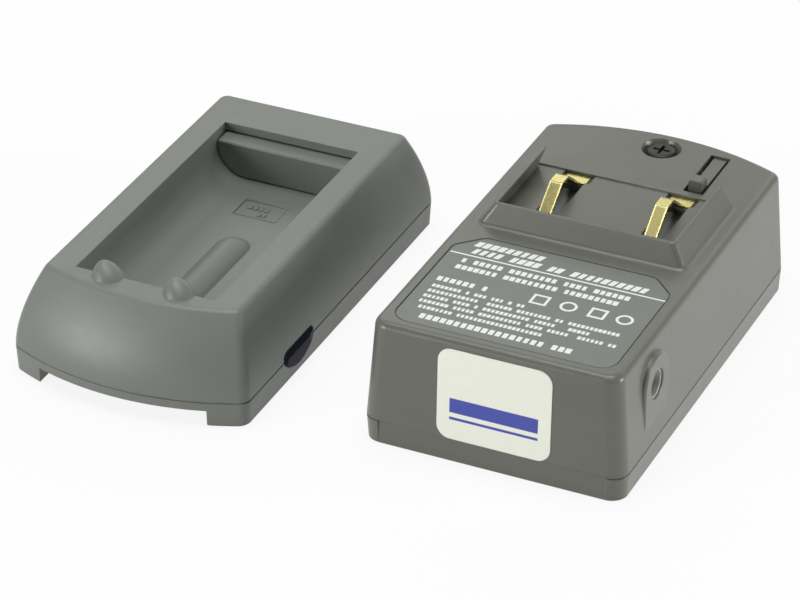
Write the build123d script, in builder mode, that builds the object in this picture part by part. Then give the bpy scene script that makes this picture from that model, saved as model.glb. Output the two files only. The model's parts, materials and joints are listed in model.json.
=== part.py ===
from build123d import *
from math import sqrt
import os

os.makedirs("parts", exist_ok=True)

# Layout: the two halves lie side by side, the battery plate on the left, the mains base on the right
halves_gap = 21.65  # clear floor between the two plans
plate_lead = 11.6  # how far the plate's bow stands in front of the base's near end
bow_radius = 58.0  # plan radius of the one bowed end that each half has

# Mains base, label side up
base_width = 54.0
base_length = 93.3
base_height = 26.8
base_seam = 5.2  # height of the joint between tray and shell
base_side_draft = 1.65
base_near_draft = 0.75
base_far_draft = 0.95
base_near_corner = 3.2
base_far_corner = 2.2
base_edge = 1.6
base_wall = 1.8
base_roof = 2.0
base_floor = 2.0

# Seams and general fits
seam_chamfer = 0.22
inner_corner_share = 0.4  # radius of a corner inside the walls, by that of its outside
tray_draft = 0.25
fit_gap = 0.15  # between pieces that only sit in one another
slide_gap = 0.3  # round pieces that move
seat_gap = 0.03  # round pins and screws in their holes

# Label and sticker
label_width = 45.6
label_length = 34.8
label_near = 3.5
label_cut = 5.0
label_cut_round = 2.4  # of the two corners of each cut
label_corner = 3.6
label_recess = 0.4
label_film = 0.3
label_gap = 0.22  # round the film in its recess
sticker_width = 23.4
sticker_height = 19.6
sticker_corner = 2.8
sticker_film = 0.15
sticker_x = 0.5
tray_panel_half = 23.5
tray_panel_recess = 0.25

# Plug dock
dock_shelf = 1.85  # flat strip between the rim's foot and the base's rounded edge
dock_near = 45.0
dock_far = 69.3
dock_height = 4.5
dock_side_run = 2.8
dock_near_run = 1.8
dock_land = 0.7
dock_corner = 1.2
dock_lip_round = 0.4
dock_sink = 0.3
dock_undercut = 1.8  # by which the side walls lean over the floor, as rails for the plug
dock_foot_round = 1.3
pocket_width = 4.6
head_pocket_width = 6.6
pocket_depth = 2.2
pocket_floor = 1.3
pocket_near = 2.6  # from the dock's near wall
pocket_overrun = 0.6  # past the dock's open end

# Mains contacts
contact_pitch = 22.4
contact_width = 2.6
contact_thick = 0.5
contact_head_width = 4.8
contact_head_length = 3.0
contact_leg = 4.0  # from the dock's near wall to the leg
contact_hump_near = 12.3
contact_hump_far = 15.4
contact_hump_height = 4.4
contact_root_drop = 1.6
contact_bend = 1.1

# Catch that holds the plug adapter
latch_x = 12.33
slot_width = 4.26
slot_near = 71.6
slot_far = 87.5
well_depth = 9.0
well_wall = 1.2
latch_width = 2.8
latch_sink = 0.45
latch_thick = 2.2
latch_end_gap = 0.9
latch_knob_height = 2.0
latch_knob_length = 2.6
latch_knob_draft = 0.35
latch_toe_drop = 2.0
latch_pin_radius = 0.8
latch_pin_drop = 3.6  # below the label face
latch_pin_inset = 1.9  # from the slot's far end
latch_eye_radius = 1.6
latch_spring_radius = 1.2
spring_wire = 0.35
spring_wire_sides = 5
latch_spring_turns = 5

# Case screw
screw_y = 85.8
screw_sink = 2.0
screw_recess_radius = 4.15
screw_head_radius = 3.1
screw_head_height = 1.7
screw_shank_radius = 1.4
screw_length = 13.0
screw_seat = 1.8
screw_boss_radius = 5.2
screw_post_radius = 3.2
cross_width = 0.8
cross_span = 3.6
cross_depth = 1.0

# Power board and what stands on it
board_height = 9.0
board_thick = 1.6
board_half = 22.0
board_near = 6.0
board_far = 80.0
post_radius = 2.2
post_inset = 4.0
transformer_x = -8.0
transformer_y = 29.0
core_width = 17.0
core_length = 16.0
core_height = 13.0
winding_length = 19.0
core_limb = 3.0
primary_x = 12.0
primary_y = 33.5
primary_radius = 4.8
primary_length = 15.0
output_cap_x = -14.5
output_cap_y = 13.0
output_cap_radius = 4.0
output_cap_height = 11.5
can_edge = 0.5
bridge_size = (6.5, 5.0, 2.6)
bridge_spot = (-14.0, 57.0)
chip_size = (9.2, 6.4, 3.3)
chip_spot = (-12.0, 68.0)
opto_size = (4.6, 6.5, 3.5)
opto_spot = (3.0, 64.0)
package_edge = 0.4
fuse_radius = 1.8
fuse_length = 10.0
fuse_cap_length = 2.2
fuse_cap_proud = 0.2
fuse_y = 52.0

# Socket for the car lead
jack_y = 17.2
jack_z = 17.1
jack_bore_radius = 3.0
jack_pad_radius = 6.35
jack_pad_rise = 0.5  # of the pad's arch above the bore's axis
jack_pad_inset = 0.28  # of the pad's upright face from the widest plan
jack_pad_lean = 0.35  # how far its flanks lean in up to that edge
jack_pad_edge = 0.4
jack_mouth_edge = 0.2
jack_body_width = 9.0
jack_body_length = 12.0
jack_bore_depth = 9.0
jack_body_height = 11.0
jack_pin_radius = 1.05
jack_pin_length = 8.0

# Contacts between the halves
link_count = 3
link_pitch = 8.0
link_y = 46.0
link_width = 2.0
link_thick = 0.4
link_slot = (3.0, 11.0)
link_clear = 0.6  # how far the contact stays above the docking face
link_bow = 2.5
link_shoulder = 4.0
link_foot = 6.0
link_bend = 0.6

# Battery plate
plate_width = 51.6
plate_length = 93.6
plate_height = 21.7
plate_seam = 5.4
plate_side_draft = 4.55
plate_near_draft = 8.4
plate_far_draft = 4.3
plate_near_corner = 2.6
plate_far_corner = 2.5
plate_top_near_corner = 1.7
plate_top_far_corner = 1.9
plate_wall_steps = 4
plate_wall_bow = 1.75  # power by which the walls lean in: 1 is straight, more is rounder
plate_edge = 1.5
plate_wall = 1.8
plate_roof = 1.8
plate_floor = 1.8
notch_half = 18.4
notch_height = 3.5
notch_depth = 13.0
notch_roof = 1.6
foot_round = 0.5

# Battery bay
bay_half = 15.3
bay_near = 13.9
bay_far = 78.3
bay_floor = 11.6
bay_base = 1.8
bay_round = 6.5
lip_thick = 1.8
ear_reach = 1.8
ear_gap_near = 0.5
ear_low = 13.4
ear_high = 18.2
nub_x = 7.8
nub_half_width = 3.65
nub_half_length = 3.5
nub_set = 0.5  # nub's centre in front of the bay's edge
nub_height = 2.8
nub_root = 1.2
nub_rings = ((0.4, 0.72), (0.8, 0.44), (1.0, 0.16))  # share of the height, share of the foot's size
nub_lean = 1.1
nub_overhang = 1.4
rib_x = 1.2
rib_half = 3.7
rib_height = 1.7
rib_length = 34.5
plaque_size = (10.0, 6.9)
plaque_y = 63.8
plaque_sink = 0.3

# Sprung slider
slider_front = 74.3
slider_length = 9.1
slider_top = 19.5
slider_travel = 4.0
slider_end_gap = 0.6  # left behind the slider when it is pushed right back
slider_ear_length = 3.6
slider_edge = 0.3
spring_x = 9.0
spring_radius = 1.9
spring_bore_gap = 0.35
spring_bore_depth = 6.0
slider_spring_turns = 5

# Charging circuit
charge_board_height = 5.6
charge_board_thick = 1.4
charge_board_half = 19.5
charge_board_near = 8.5
charge_board_far = 84.0
charge_chip_size = (5.0, 6.2, 1.6)
charge_chip_y = 44.0
tip_count = 3
tip_pitch = 5.0
tip_width = 1.8
tip_thick = 0.4
tip_low = 14.6
tip_high = 18.2
tip_reach = 1.0  # how far a contact stands into the bay
tip_setback = 1.9  # of the contact's leg behind the near wall's face
tip_foot = 2.2
tip_bend = 0.5
tip_slot_gap = 0.3

# Indicator
lens_near = 22.2
lens_far = 35.0
lens_top = 7.3
lens_bottom = 2.1
lens_proud = 0.5  # of the ridge from the widest plan
lens_rim_proud = 0.12
lens_ridge = 5.9  # height of the ridge
lens_near_slope = 1.0  # length of the slope from the near end up to the ridge
lens_far_slope = 2.6
lens_inner = 20.6
lens_end_round = 1.3
led_size = (1.6, 3.2, 1.4)

# Plate screws and pads
plate_screw_ys = (27.0, 80.0)
plate_screw_head_radius = 2.3
plate_screw_head_height = 1.4
plate_screw_radius = 1.2
plate_screw_length = 6.0
plate_screw_sink = 1.8
plate_boss_radius = 2.8
plate_pad_height = 3.4
plate_pad_radius = 4.0
pad_size = (3.0, 9.0, 0.5)
pad_recess = 0.9
pad_pin_radius = 0.6

# Places of the two halves: the whole layout is centred on the origin
overall_width = plate_width + halves_gap + base_width
overall_depth = base_length + plate_lead
base = Plane((overall_width / 2 - base_width / 2, plate_lead - overall_depth / 2, 0))
plate = Plane((plate_width / 2 - overall_width / 2, -overall_depth / 2, 0))


def level(half, z):
    """Level plane of a half at height z."""
    return half.offset(z)


def across(half, x):
    """Upright plane of a half that faces +X: its sketch axes are Y and Z."""
    return Plane(half.from_local_coords(Vector(x, 0, 0)), x_dir=(0, 1, 0), z_dir=(1, 0, 0))


def facing(half, y):
    """Upright plane of a half that faces the viewer: its sketch axes are X and Z."""
    return Plane(half.from_local_coords(Vector(0, y, 0)), x_dir=(1, 0, 0), z_dir=(0, -1, 0))


def bow_drop(half_width):
    """How far the bow falls back from its apex at a half width."""
    return bow_radius - sqrt(bow_radius**2 - half_width**2)


def base_outline(side=0.0, near=0.0, far=0.0, corner_share=1.0):
    """Plan of the base, drawn in the open sketch: straight near end, bowed far end and round corners."""
    half = base_width / 2 - side
    apex = base_length - far
    shoulder = apex - bow_drop(half)
    with BuildLine() as plan:
        Polyline((-half, shoulder), (-half, near), (half, near), (half, shoulder))
        ThreePointArc((half, shoulder), (0, apex), (-half, shoulder))
    make_face(plan.edges())
    fillet(vertices().group_by(Axis.Y)[0], corner_share * base_near_corner)
    fillet(vertices().group_by(Axis.Y)[-1], corner_share * base_far_corner)


def plate_lean(z):
    """Share of the plate's draft at height z: its walls rise upright from the seam and bow in to the top."""
    return ((z - plate_seam) / (plate_height - plate_seam)) ** plate_wall_bow


def plate_levels(low, high):
    """Heights of the sections that a bowed wall of the plate is lofted through."""
    return [low + (high - low) * step / plate_wall_steps for step in range(plate_wall_steps + 1)]


def plate_outline(lean=0.0, inset=0.0, corner_share=1.0):
    """Plan of the plate, drawn in the open sketch: bowed near end, straight far end and round corners."""
    half = plate_width / 2 - lean * plate_side_draft - inset
    near = lean * plate_near_draft + inset
    back = plate_length - lean * plate_far_draft - inset
    shoulder = near + bow_drop(half)
    with BuildLine() as plan:
        Polyline((-half, shoulder), (-half, back), (half, back), (half, shoulder))
        ThreePointArc((half, shoulder), (0, near), (-half, shoulder))
    make_face(plan.edges())
    near_corner = plate_near_corner + lean * (plate_top_near_corner - plate_near_corner)
    far_corner = plate_far_corner + lean * (plate_top_far_corner - plate_far_corner)
    fillet(vertices().group_by(Axis.Y)[0], corner_share * near_corner)
    fillet(vertices().group_by(Axis.Y)[-1], corner_share * far_corner)


def tray_rings(seam):
    """Heights and insets of a tray's plan: broken edges below and at the seam, and draft between."""
    return (
        (0, tray_draft + seam_chamfer),
        (seam_chamfer, tray_draft),
        (seam - seam_chamfer, 0),
        (seam, seam_chamfer),
    )


def bay_section(half, floor, top, round_radius):
    """Section of the bay, drawn in the open sketch: upright walls that sweep into the floor."""
    with BuildLine() as section:
        Line((-half, top), (-half, floor + round_radius))
        RadiusArc((-half, floor + round_radius), (-half + round_radius, floor), -round_radius)
        Line((-half + round_radius, floor), (half - round_radius, floor))
        RadiusArc((half - round_radius, floor), (half, floor + round_radius), -round_radius)
        Line((half, floor + round_radius), (half, top))
        Line((half, top), (-half, top))
    make_face(section.edges())


def lens_outline(grow=0.0):
    """Side view of the lens, drawn in the open sketch: flat top with round ends, half-moon below the seam."""
    with BuildLine() as view:
        Polyline(
            (lens_near - grow, plate_seam),
            (lens_near - grow, lens_top + grow),
            (lens_far + grow, lens_top + grow),
            (lens_far + grow, plate_seam),
        )
        ThreePointArc(
            (lens_far + grow, plate_seam),
            ((lens_near + lens_far) / 2, lens_bottom - grow),
            (lens_near - grow, plate_seam),
        )
    make_face(view.edges())
    fillet(vertices().group_by(Axis.Y)[-1], lens_end_round + grow)


# Heights and places that several pieces share
board_top = board_height + board_thick
cavity_top = base_height - base_roof
dock_half = base_width / 2 - base_side_draft - base_edge - dock_shelf - dock_side_run - dock_land
dock_level = base_height - dock_sink
pocket_bottom = dock_level - pocket_depth
dock_underside = pocket_bottom - pocket_floor
pocket_back = dock_far + pocket_overrun
head_seat = dock_level - contact_thick - 2 * fit_gap
well_bottom = base_height - well_depth
latch_pin_y = slot_far - latch_pin_inset
latch_pin_z = base_height - latch_pin_drop
screw_seat_top = base_height - screw_sink
screw_post_top = screw_seat_top - screw_seat
jack_face = base_width / 2 - jack_pad_inset
jack_body_end = base_width / 2 - base_side_draft - base_wall
contact_xs = (-contact_pitch / 2, contact_pitch / 2)
link_xs = [(i - (link_count - 1) / 2) * link_pitch for i in range(link_count)]
bay_underside = bay_floor - bay_base
lip_bottom = plate_height - lip_thick
slider_back = slider_front + slider_length
pocket_far = slider_back + slider_travel + slider_end_gap
charge_top = charge_board_height + charge_board_thick
tip_xs = [(i - (tip_count - 1) / 2) * tip_pitch for i in range(tip_count)]

# Mains base: label-side shell
with BuildPart(base) as base_shell:
    for z, inset in ((base_seam, seam_chamfer), (base_seam + seam_chamfer, 0)):
        with BuildSketch(level(base, z)) as ring:
            base_outline(inset, inset, inset)
    with BuildSketch(level(base, base_height)) as crown:
        base_outline(base_side_draft, base_near_draft, base_far_draft)
    loft(ruled=True)
    fillet(base_shell.faces().sort_by(Axis.Z)[-1].edges(), base_edge)

    # Hollow under the skin
    with BuildSketch(level(base, base_seam)) as hollow_foot:
        base_outline(base_wall, base_wall, base_wall, inner_corner_share)
    with BuildSketch(level(base, cavity_top)) as hollow_top:
        base_outline(
            base_side_draft + base_wall,
            base_near_draft + base_wall,
            base_far_draft + base_wall,
            inner_corner_share,
        )
    loft(ruled=True, mode=Mode.SUBTRACT)

    # Pad round the socket: nearly upright, so it fades into the drafted wall below
    for x, inset in (
        (jack_body_end, 0),
        (jack_face - jack_pad_edge, jack_pad_lean),
        (jack_face, jack_pad_lean + jack_pad_edge),
    ):
        pad_half = jack_pad_radius - inset
        pad_spring = jack_z + jack_pad_rise
        with BuildSketch(across(base, x)) as pad:
            with BuildLine():
                Polyline(
                    (jack_y - pad_half, pad_spring),
                    (jack_y - pad_half, base_seam + seam_chamfer),
                    (jack_y + pad_half, base_seam + seam_chamfer),
                    (jack_y + pad_half, pad_spring),
                )
                ThreePointArc(
                    (jack_y + pad_half, pad_spring),
                    (jack_y, pad_spring + pad_half),
                    (jack_y - pad_half, pad_spring),
                )
            make_face()
    loft(ruled=True)

    # Raised rim of the dock
    with BuildSketch(level(base, base_height)) as rim_foot:
        with Locations((0, dock_near - dock_land - dock_near_run)):
            Rectangle(
                2 * (dock_half + dock_land + dock_side_run),
                dock_far - dock_near + dock_land + dock_near_run,
                align=(Align.CENTER, Align.MIN),
            )
        fillet(rim_foot.vertices().group_by(Axis.Y)[0], dock_corner)
    with BuildSketch(level(base, base_height + dock_height)) as rim_top:
        with Locations((0, dock_near - dock_land)):
            Rectangle(
                2 * (dock_half + dock_land),
                dock_far - dock_near + dock_land,
                align=(Align.CENTER, Align.MIN),
            )
        fillet(rim_top.vertices().group_by(Axis.Y)[0], dock_corner)
    loft(ruled=True)
    rim_edges = base_shell.faces().sort_by(Axis.Z)[-1].edges().sort_by(Axis.Y)
    fillet(rim_edges[:-1], dock_lip_round)
    rim_foot_edge = (
        base_shell.edges()
        .filter_by(Axis.X)
        .filter_by_position(Axis.Z, base_height - seat_gap, base_height + seat_gap)
        .filter_by_position(Axis.Y, base.origin.Y + label_near + label_length, base.origin.Y + dock_near)
    )
    fillet(rim_foot_edge, dock_foot_round)

    # Thicker roof under the dock, well of the catch, boss of the screw
    with Locations((0, (dock_near - dock_land + pocket_back + base_roof) / 2, dock_underside)):
        Box(
            2 * (dock_half + dock_land),
            pocket_back + base_roof - dock_near + dock_land,
            cavity_top - dock_underside,
            align=(Align.CENTER, Align.CENTER, Align.MIN),
        )
    with Locations((latch_x, (slot_near + slot_far) / 2, well_bottom - well_wall)):
        Box(
            slot_width + 2 * well_wall,
            slot_far - slot_near + 2 * well_wall,
            cavity_top - well_bottom + well_wall,
            align=(Align.CENTER, Align.CENTER, Align.MIN),
        )
    with Locations((0, screw_y, screw_post_top)):
        Cylinder(
            screw_boss_radius,
            cavity_top - screw_post_top,
            align=(Align.CENTER, Align.CENTER, Align.MIN),
        )

    # Floor of the dock, between side walls that lean over it
    with BuildSketch(facing(base, dock_near)) as dock:
        with BuildLine():
            Polyline(
                (-dock_half - dock_undercut, dock_level),
                (dock_half + dock_undercut, dock_level),
                (dock_half, base_height + dock_height),
                (-dock_half, base_height + dock_height),
                close=True,
            )
        make_face()
    extrude(amount=dock_near - dock_far, mode=Mode.SUBTRACT)
    with Locations((0, dock_far, dock_level)):
        Box(
            2 * (dock_half + dock_undercut),
            pocket_overrun,
            dock_sink,
            align=(Align.CENTER, Align.MIN, Align.MIN),
            mode=Mode.SUBTRACT,
        )

    # Pocket under each mains contact: deep below its bow, shallow under its head, open at its leg
    with Locations(*[(x, dock_near + pocket_near, pocket_bottom) for x in contact_xs]):
        Box(
            pocket_width,
            pocket_back - dock_near - pocket_near - contact_head_length - 2 * fit_gap,
            pocket_depth,
            align=(Align.CENTER, Align.MIN, Align.MIN),
            mode=Mode.SUBTRACT,
        )
    with Locations(*[(x, pocket_back, head_seat) for x in contact_xs]):
        Box(
            head_pocket_width,
            contact_head_length + 2 * fit_gap,
            dock_level - head_seat,
            align=(Align.CENTER, Align.MAX, Align.MIN),
            mode=Mode.SUBTRACT,
        )
    with Locations(*[(x, dock_near + contact_leg, dock_underside) for x in contact_xs]):
        Box(
            contact_width + 2 * slide_gap,
            contact_thick + 2 * slide_gap,
            pocket_floor,
            align=(Align.CENTER, Align.CENTER, Align.MIN),
            mode=Mode.SUBTRACT,
        )

    # Slot and well of the catch, with the holes for its pin
    with Locations((latch_x, (slot_near + slot_far) / 2, well_bottom)):
        Box(
            slot_width,
            slot_far - slot_near,
            well_depth,
            align=(Align.CENTER, Align.CENTER, Align.MIN),
            mode=Mode.SUBTRACT,
        )
    with Locations((latch_x, latch_pin_y, latch_pin_z)):
        Cylinder(
            latch_pin_radius + seat_gap,
            slot_width + 2 * well_wall,
            rotation=(0, 90, 0),
            mode=Mode.SUBTRACT,
        )

    # Recesses of the screw and the label, and the socket's mouth
    with BuildSketch(across(base, 0)) as screw_recess:
        with BuildLine() as recess_line:
            Polyline(
                (screw_y, screw_post_top),
                (screw_y + screw_shank_radius + fit_gap, screw_post_top),
                (screw_y + screw_shank_radius + fit_gap, screw_seat_top),
                (screw_y + screw_head_radius + fit_gap, screw_seat_top),
                (screw_y + screw_recess_radius, base_height),
                (screw_y, base_height),
                close=True,
            )
        make_face()
    screw_axis = Axis(base.from_local_coords(Vector(0, screw_y, 0)), (0, 0, 1))
    revolve(axis=screw_axis, mode=Mode.SUBTRACT)
    with BuildSketch(level(base, base_height)) as label_bed:
        with Locations((0, label_near)):
            Rectangle(label_width, label_length, align=(Align.CENTER, Align.MIN))
        chamfer(label_bed.vertices().group_by(Axis.Y)[-1], label_cut)
        fillet(label_bed.vertices().sort_by(Axis.Y)[-4:], label_cut_round)
        fillet(label_bed.vertices().group_by(Axis.Y)[0], label_corner)
    extrude(amount=-label_recess, mode=Mode.SUBTRACT)
    with BuildSketch(across(base, jack_body_end - base_wall)) as mouth:
        with Locations((jack_y, jack_z)):
            Circle(jack_bore_radius)
    extrude(amount=jack_face - jack_body_end + base_wall, mode=Mode.SUBTRACT)
    mouth_edges = base_shell.edges().filter_by(GeomType.CIRCLE)
    mouth_edges = mouth_edges.filter_by(lambda edge: abs(edge.radius - jack_bore_radius) < seat_gap)
    chamfer(mouth_edges.sort_by(Axis.X)[-1], jack_mouth_edge)
base_shell.part.label = "base_shell"
export_step(base_shell.part, "parts/base_shell.step")

# Mains base: tray on the docking side
with BuildPart(base) as base_tray:
    for z, inset in tray_rings(base_seam):
        with BuildSketch(level(base, z)) as ring:
            base_outline(inset, inset, inset)
    loft(ruled=True)
    with BuildSketch(level(base, base_floor)) as hollow:
        base_outline(base_wall, base_wall, base_wall, inner_corner_share)
    extrude(amount=base_seam - base_floor, mode=Mode.SUBTRACT)

    # Shallow panel on the near end
    with Locations((0, 0, 0)):
        Box(
            2 * tray_panel_half,
            2 * tray_panel_recess,
            base_seam,
            align=(Align.CENTER, Align.CENTER, Align.MIN),
            mode=Mode.SUBTRACT,
        )

    # Posts for the board and the screw
    post_ys = (board_near + post_inset, board_far - post_inset)
    post_xs = (post_inset - board_half, board_half - post_inset)
    with Locations(*[(x, y, base_floor) for x in post_xs for y in post_ys]):
        Cylinder(post_radius, board_height - base_floor, align=(Align.CENTER, Align.CENTER, Align.MIN))
    with Locations((0, screw_y, base_floor)):
        Cylinder(
            screw_post_radius,
            screw_post_top - base_floor,
            align=(Align.CENTER, Align.CENTER, Align.MIN),
        )
    with Locations((0, screw_y, screw_post_top)):
        Cylinder(
            screw_shank_radius + seat_gap,
            screw_length - screw_seat + fit_gap,
            align=(Align.CENTER, Align.CENTER, Align.MAX),
            mode=Mode.SUBTRACT,
        )

    # Slots for the contacts towards the plate
    with Locations(*[(x, link_y, 0) for x in link_xs]):
        Box(
            *link_slot,
            base_floor,
            align=(Align.CENTER, Align.CENTER, Align.MIN),
            mode=Mode.SUBTRACT,
        )
base_tray.part.label = "base_tray"
export_step(base_tray.part, "parts/base_tray.step")

# Printed film in its recess
with BuildPart(base) as label_panel:
    with BuildSketch(level(base, base_height - label_recess)) as film:
        with Locations((0, label_near)):
            Rectangle(label_width, label_length, align=(Align.CENTER, Align.MIN))
        chamfer(film.vertices().group_by(Axis.Y)[-1], label_cut)
        fillet(film.vertices().sort_by(Axis.Y)[-4:], label_cut_round)
        fillet(film.vertices().group_by(Axis.Y)[0], label_corner)
        offset(amount=-label_gap, mode=Mode.REPLACE)
    extrude(amount=label_film)
label_panel.part.label = "label_panel"
export_step(label_panel.part, "parts/label_panel.step")

# Blank paper label on the drafted near end
near_foot = base_seam + seam_chamfer
near_face = Plane(
    base.from_local_coords(Vector(0, 0, near_foot)),
    x_dir=(1, 0, 0),
    z_dir=(0, near_foot - base_height, base_near_draft),
)
with BuildPart() as side_sticker:
    with BuildSketch(near_face) as paper:
        with Locations((sticker_x, sticker_height / 2)):
            RectangleRounded(sticker_width, sticker_height, sticker_corner)
    extrude(amount=sticker_film)
side_sticker.part.label = "side_sticker"
export_step(side_sticker.part, "parts/side_sticker.step")

# Bowed leaf contacts: a leg up from the board, a hump in the dock and a broad head in its pocket
for side_name, contact_x in zip(("left", "right"), contact_xs):
    with BuildPart(base) as mains_contact:
        head_middle = head_seat + contact_thick / 2
        head_near = pocket_back - fit_gap - contact_head_length
        with BuildSketch(across(base, contact_x - contact_width / 2)) as strip:
            with BuildLine() as bent:
                FilletPolyline(
                    (dock_near + contact_leg, board_top + contact_thick / 2),
                    (dock_near + contact_leg, dock_level - contact_root_drop),
                    (dock_near + contact_hump_near, dock_level + contact_hump_height),
                    (dock_near + contact_hump_far, dock_level + contact_hump_height),
                    (head_near, head_middle),
                    (head_near + contact_head_length - contact_thick / 2, head_middle),
                    radius=contact_bend,
                )
                offset(amount=contact_thick / 2, side=Side.BOTH)
            make_face()
        extrude(amount=contact_width)
        with Locations((contact_x, head_near + contact_head_length, head_seat)):
            Box(
                contact_head_width,
                contact_head_length,
                contact_thick,
                align=(Align.CENTER, Align.MAX, Align.MIN),
            )
    mains_contact.part.label = f"mains_contact_{side_name}"
    export_step(mains_contact.part, f"parts/mains_contact_{side_name}.step")

# Catch: a bar in the slot with a knob at its near end and an eye at its far end
with BuildPart(base) as plug_latch:
    bar_top = base_height - latch_sink
    toe = slot_near + latch_end_gap
    with BuildSketch(across(base, latch_x - latch_width / 2)) as view:
        with BuildLine() as profile:
            Polyline(
                (toe, bar_top - latch_thick - latch_toe_drop),
                (toe + latch_knob_draft, base_height + latch_knob_height),
                (toe + latch_knob_draft + latch_knob_length, base_height + latch_knob_height),
                (toe + 2 * latch_knob_draft + latch_knob_length, bar_top),
                (slot_far - slide_gap, bar_top),
                (slot_far - slide_gap, bar_top - latch_thick),
                (toe + 2 * latch_spring_radius + latch_knob_length, bar_top - latch_thick),
                (toe + 2 * latch_spring_radius + latch_knob_length, bar_top - latch_thick - latch_toe_drop),
                close=True,
            )
        make_face()
        with Locations((latch_pin_y, latch_pin_z)):
            Circle(latch_eye_radius)
            Rectangle(2 * latch_eye_radius, bar_top - latch_pin_z, align=(Align.CENTER, Align.MIN))
        with Locations((latch_pin_y, latch_pin_z)):
            Circle(latch_pin_radius + 2 * seat_gap, mode=Mode.SUBTRACT)
    extrude(amount=latch_width)
    knob_top = plug_latch.faces().sort_by(Axis.Z)[-1]
    chamfer(knob_top.edges().filter_by(Axis.Y), latch_knob_draft)
plug_latch.part.label = "plug_latch"
export_step(plug_latch.part, "parts/plug_latch.step")

with BuildPart(base) as latch_pin:
    with Locations((latch_x, latch_pin_y, latch_pin_z)):
        Cylinder(latch_pin_radius, slot_width + 2 * well_wall, rotation=(0, 90, 0))
latch_pin.part.label = "latch_pin"
export_step(latch_pin.part, "parts/latch_pin.step")


def coil(axis_plane, radius, length, turns):
    """Compression spring along a plane's normal, drawn in the open part: a faceted wire on a helix."""
    pitch = (length - spring_wire) / turns
    path = Helix(pitch, length - spring_wire, radius, mode=Mode.PRIVATE)
    path = axis_plane.offset(spring_wire / 2).from_local_coords(path)
    with BuildSketch(Plane(path @ 0, z_dir=path % 0)) as wire:
        RegularPolygon(spring_wire / 2, spring_wire_sides)
    sweep(wire.sketch.faces(), path=path, is_frenet=True)


latch_spring_y = toe + latch_knob_length / 2 + latch_spring_radius
with BuildPart() as latch_spring:
    coil(
        Plane(base.from_local_coords(Vector(latch_x, latch_spring_y, well_bottom))),
        latch_spring_radius,
        bar_top - latch_thick - latch_toe_drop - well_bottom,
        latch_spring_turns,
    )
latch_spring.part.label = "latch_spring"
export_step(latch_spring.part, "parts/latch_spring.step")


def cross_head_screw(head_radius, head_height, shank_radius, length):
    """Screw drawn in the open part, head up, its seat at the origin, with a cross recess."""
    Cylinder(head_radius, head_height, align=(Align.CENTER, Align.CENTER, Align.MIN))
    Cylinder(shank_radius, length, align=(Align.CENTER, Align.CENTER, Align.MAX))
    with Locations((0, 0, head_height)):
        for span in ((cross_span, cross_width), (cross_width, cross_span)):
            Box(
                *span,
                cross_depth,
                align=(Align.CENTER, Align.CENTER, Align.MAX),
                mode=Mode.SUBTRACT,
            )


with BuildPart(Plane(base.from_local_coords(Vector(0, screw_y, screw_seat_top)))) as case_screw:
    cross_head_screw(screw_head_radius, screw_head_height, screw_shank_radius, screw_length)
    head_rim = case_screw.edges().filter_by(GeomType.CIRCLE).sort_by(Axis.Z)[-1]
    fillet(head_rim, screw_head_height / 2)
case_screw.part.label = "case_screw"
export_step(case_screw.part, "parts/case_screw.step")

# Power board
with BuildPart(base) as power_board:
    with Locations((0, board_near, board_height)):
        Box(
            2 * board_half,
            board_far - board_near,
            board_thick,
            align=(Align.CENTER, Align.MIN, Align.MIN),
        )
power_board.part.label = "power_board"
export_step(power_board.part, "parts/power_board.step")

# Transformer: a winding between the limbs of a ferrite core
with BuildPart(base) as transformer_core:
    with Locations((transformer_x, transformer_y, board_top)):
        Box(core_width, core_length, core_height, align=(Align.CENTER, Align.CENTER, Align.MIN))
        Box(
            core_width - 2 * core_limb,
            core_length,
            core_height - core_limb,
            align=(Align.CENTER, Align.CENTER, Align.MIN),
            mode=Mode.SUBTRACT,
        )
transformer_core.part.label = "transformer_core"
export_step(transformer_core.part, "parts/transformer_core.step")

with BuildPart(base) as transformer_winding:
    with Locations((transformer_x, transformer_y, board_top)):
        Box(
            core_width - 2 * core_limb - 2 * fit_gap,
            winding_length,
            core_height - core_limb - fit_gap,
            align=(Align.CENTER, Align.CENTER, Align.MIN),
        )
    fillet(transformer_winding.edges().filter_by(Axis.Y).sort_by(Axis.Z)[-2:], core_limb / 2)
transformer_winding.part.label = "transformer_winding"
export_step(transformer_winding.part, "parts/transformer_winding.step")

# Capacitors
with BuildPart(base) as primary_capacitor:
    with Locations((primary_x, primary_y, board_top + primary_radius)):
        Cylinder(primary_radius, primary_length, rotation=(90, 0, 0))
    chamfer(primary_capacitor.edges().filter_by(GeomType.CIRCLE), can_edge)
primary_capacitor.part.label = "primary_capacitor"
export_step(primary_capacitor.part, "parts/primary_capacitor.step")

with BuildPart(base) as output_capacitor:
    with Locations((output_cap_x, output_cap_y, board_top)):
        Cylinder(output_cap_radius, output_cap_height, align=(Align.CENTER, Align.CENTER, Align.MIN))
    chamfer(output_capacitor.edges().filter_by(GeomType.CIRCLE).sort_by(Axis.Z)[-1], can_edge)
output_capacitor.part.label = "output_capacitor"
export_step(output_capacitor.part, "parts/output_capacitor.step")

# Packages on the power board
for package_name, package_size, package_spot in (
    ("bridge_rectifier", bridge_size, bridge_spot),
    ("control_chip", chip_size, chip_spot),
    ("optocoupler", opto_size, opto_spot),
):
    with BuildPart(base) as package:
        with Locations((*package_spot, board_top)):
            Box(*package_size, align=(Align.CENTER, Align.CENTER, Align.MIN))
        chamfer(package.faces().sort_by(Axis.Z)[-1].edges(), package_edge)
    package.part.label = package_name
    export_step(package.part, f"parts/{package_name}.step")

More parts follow.
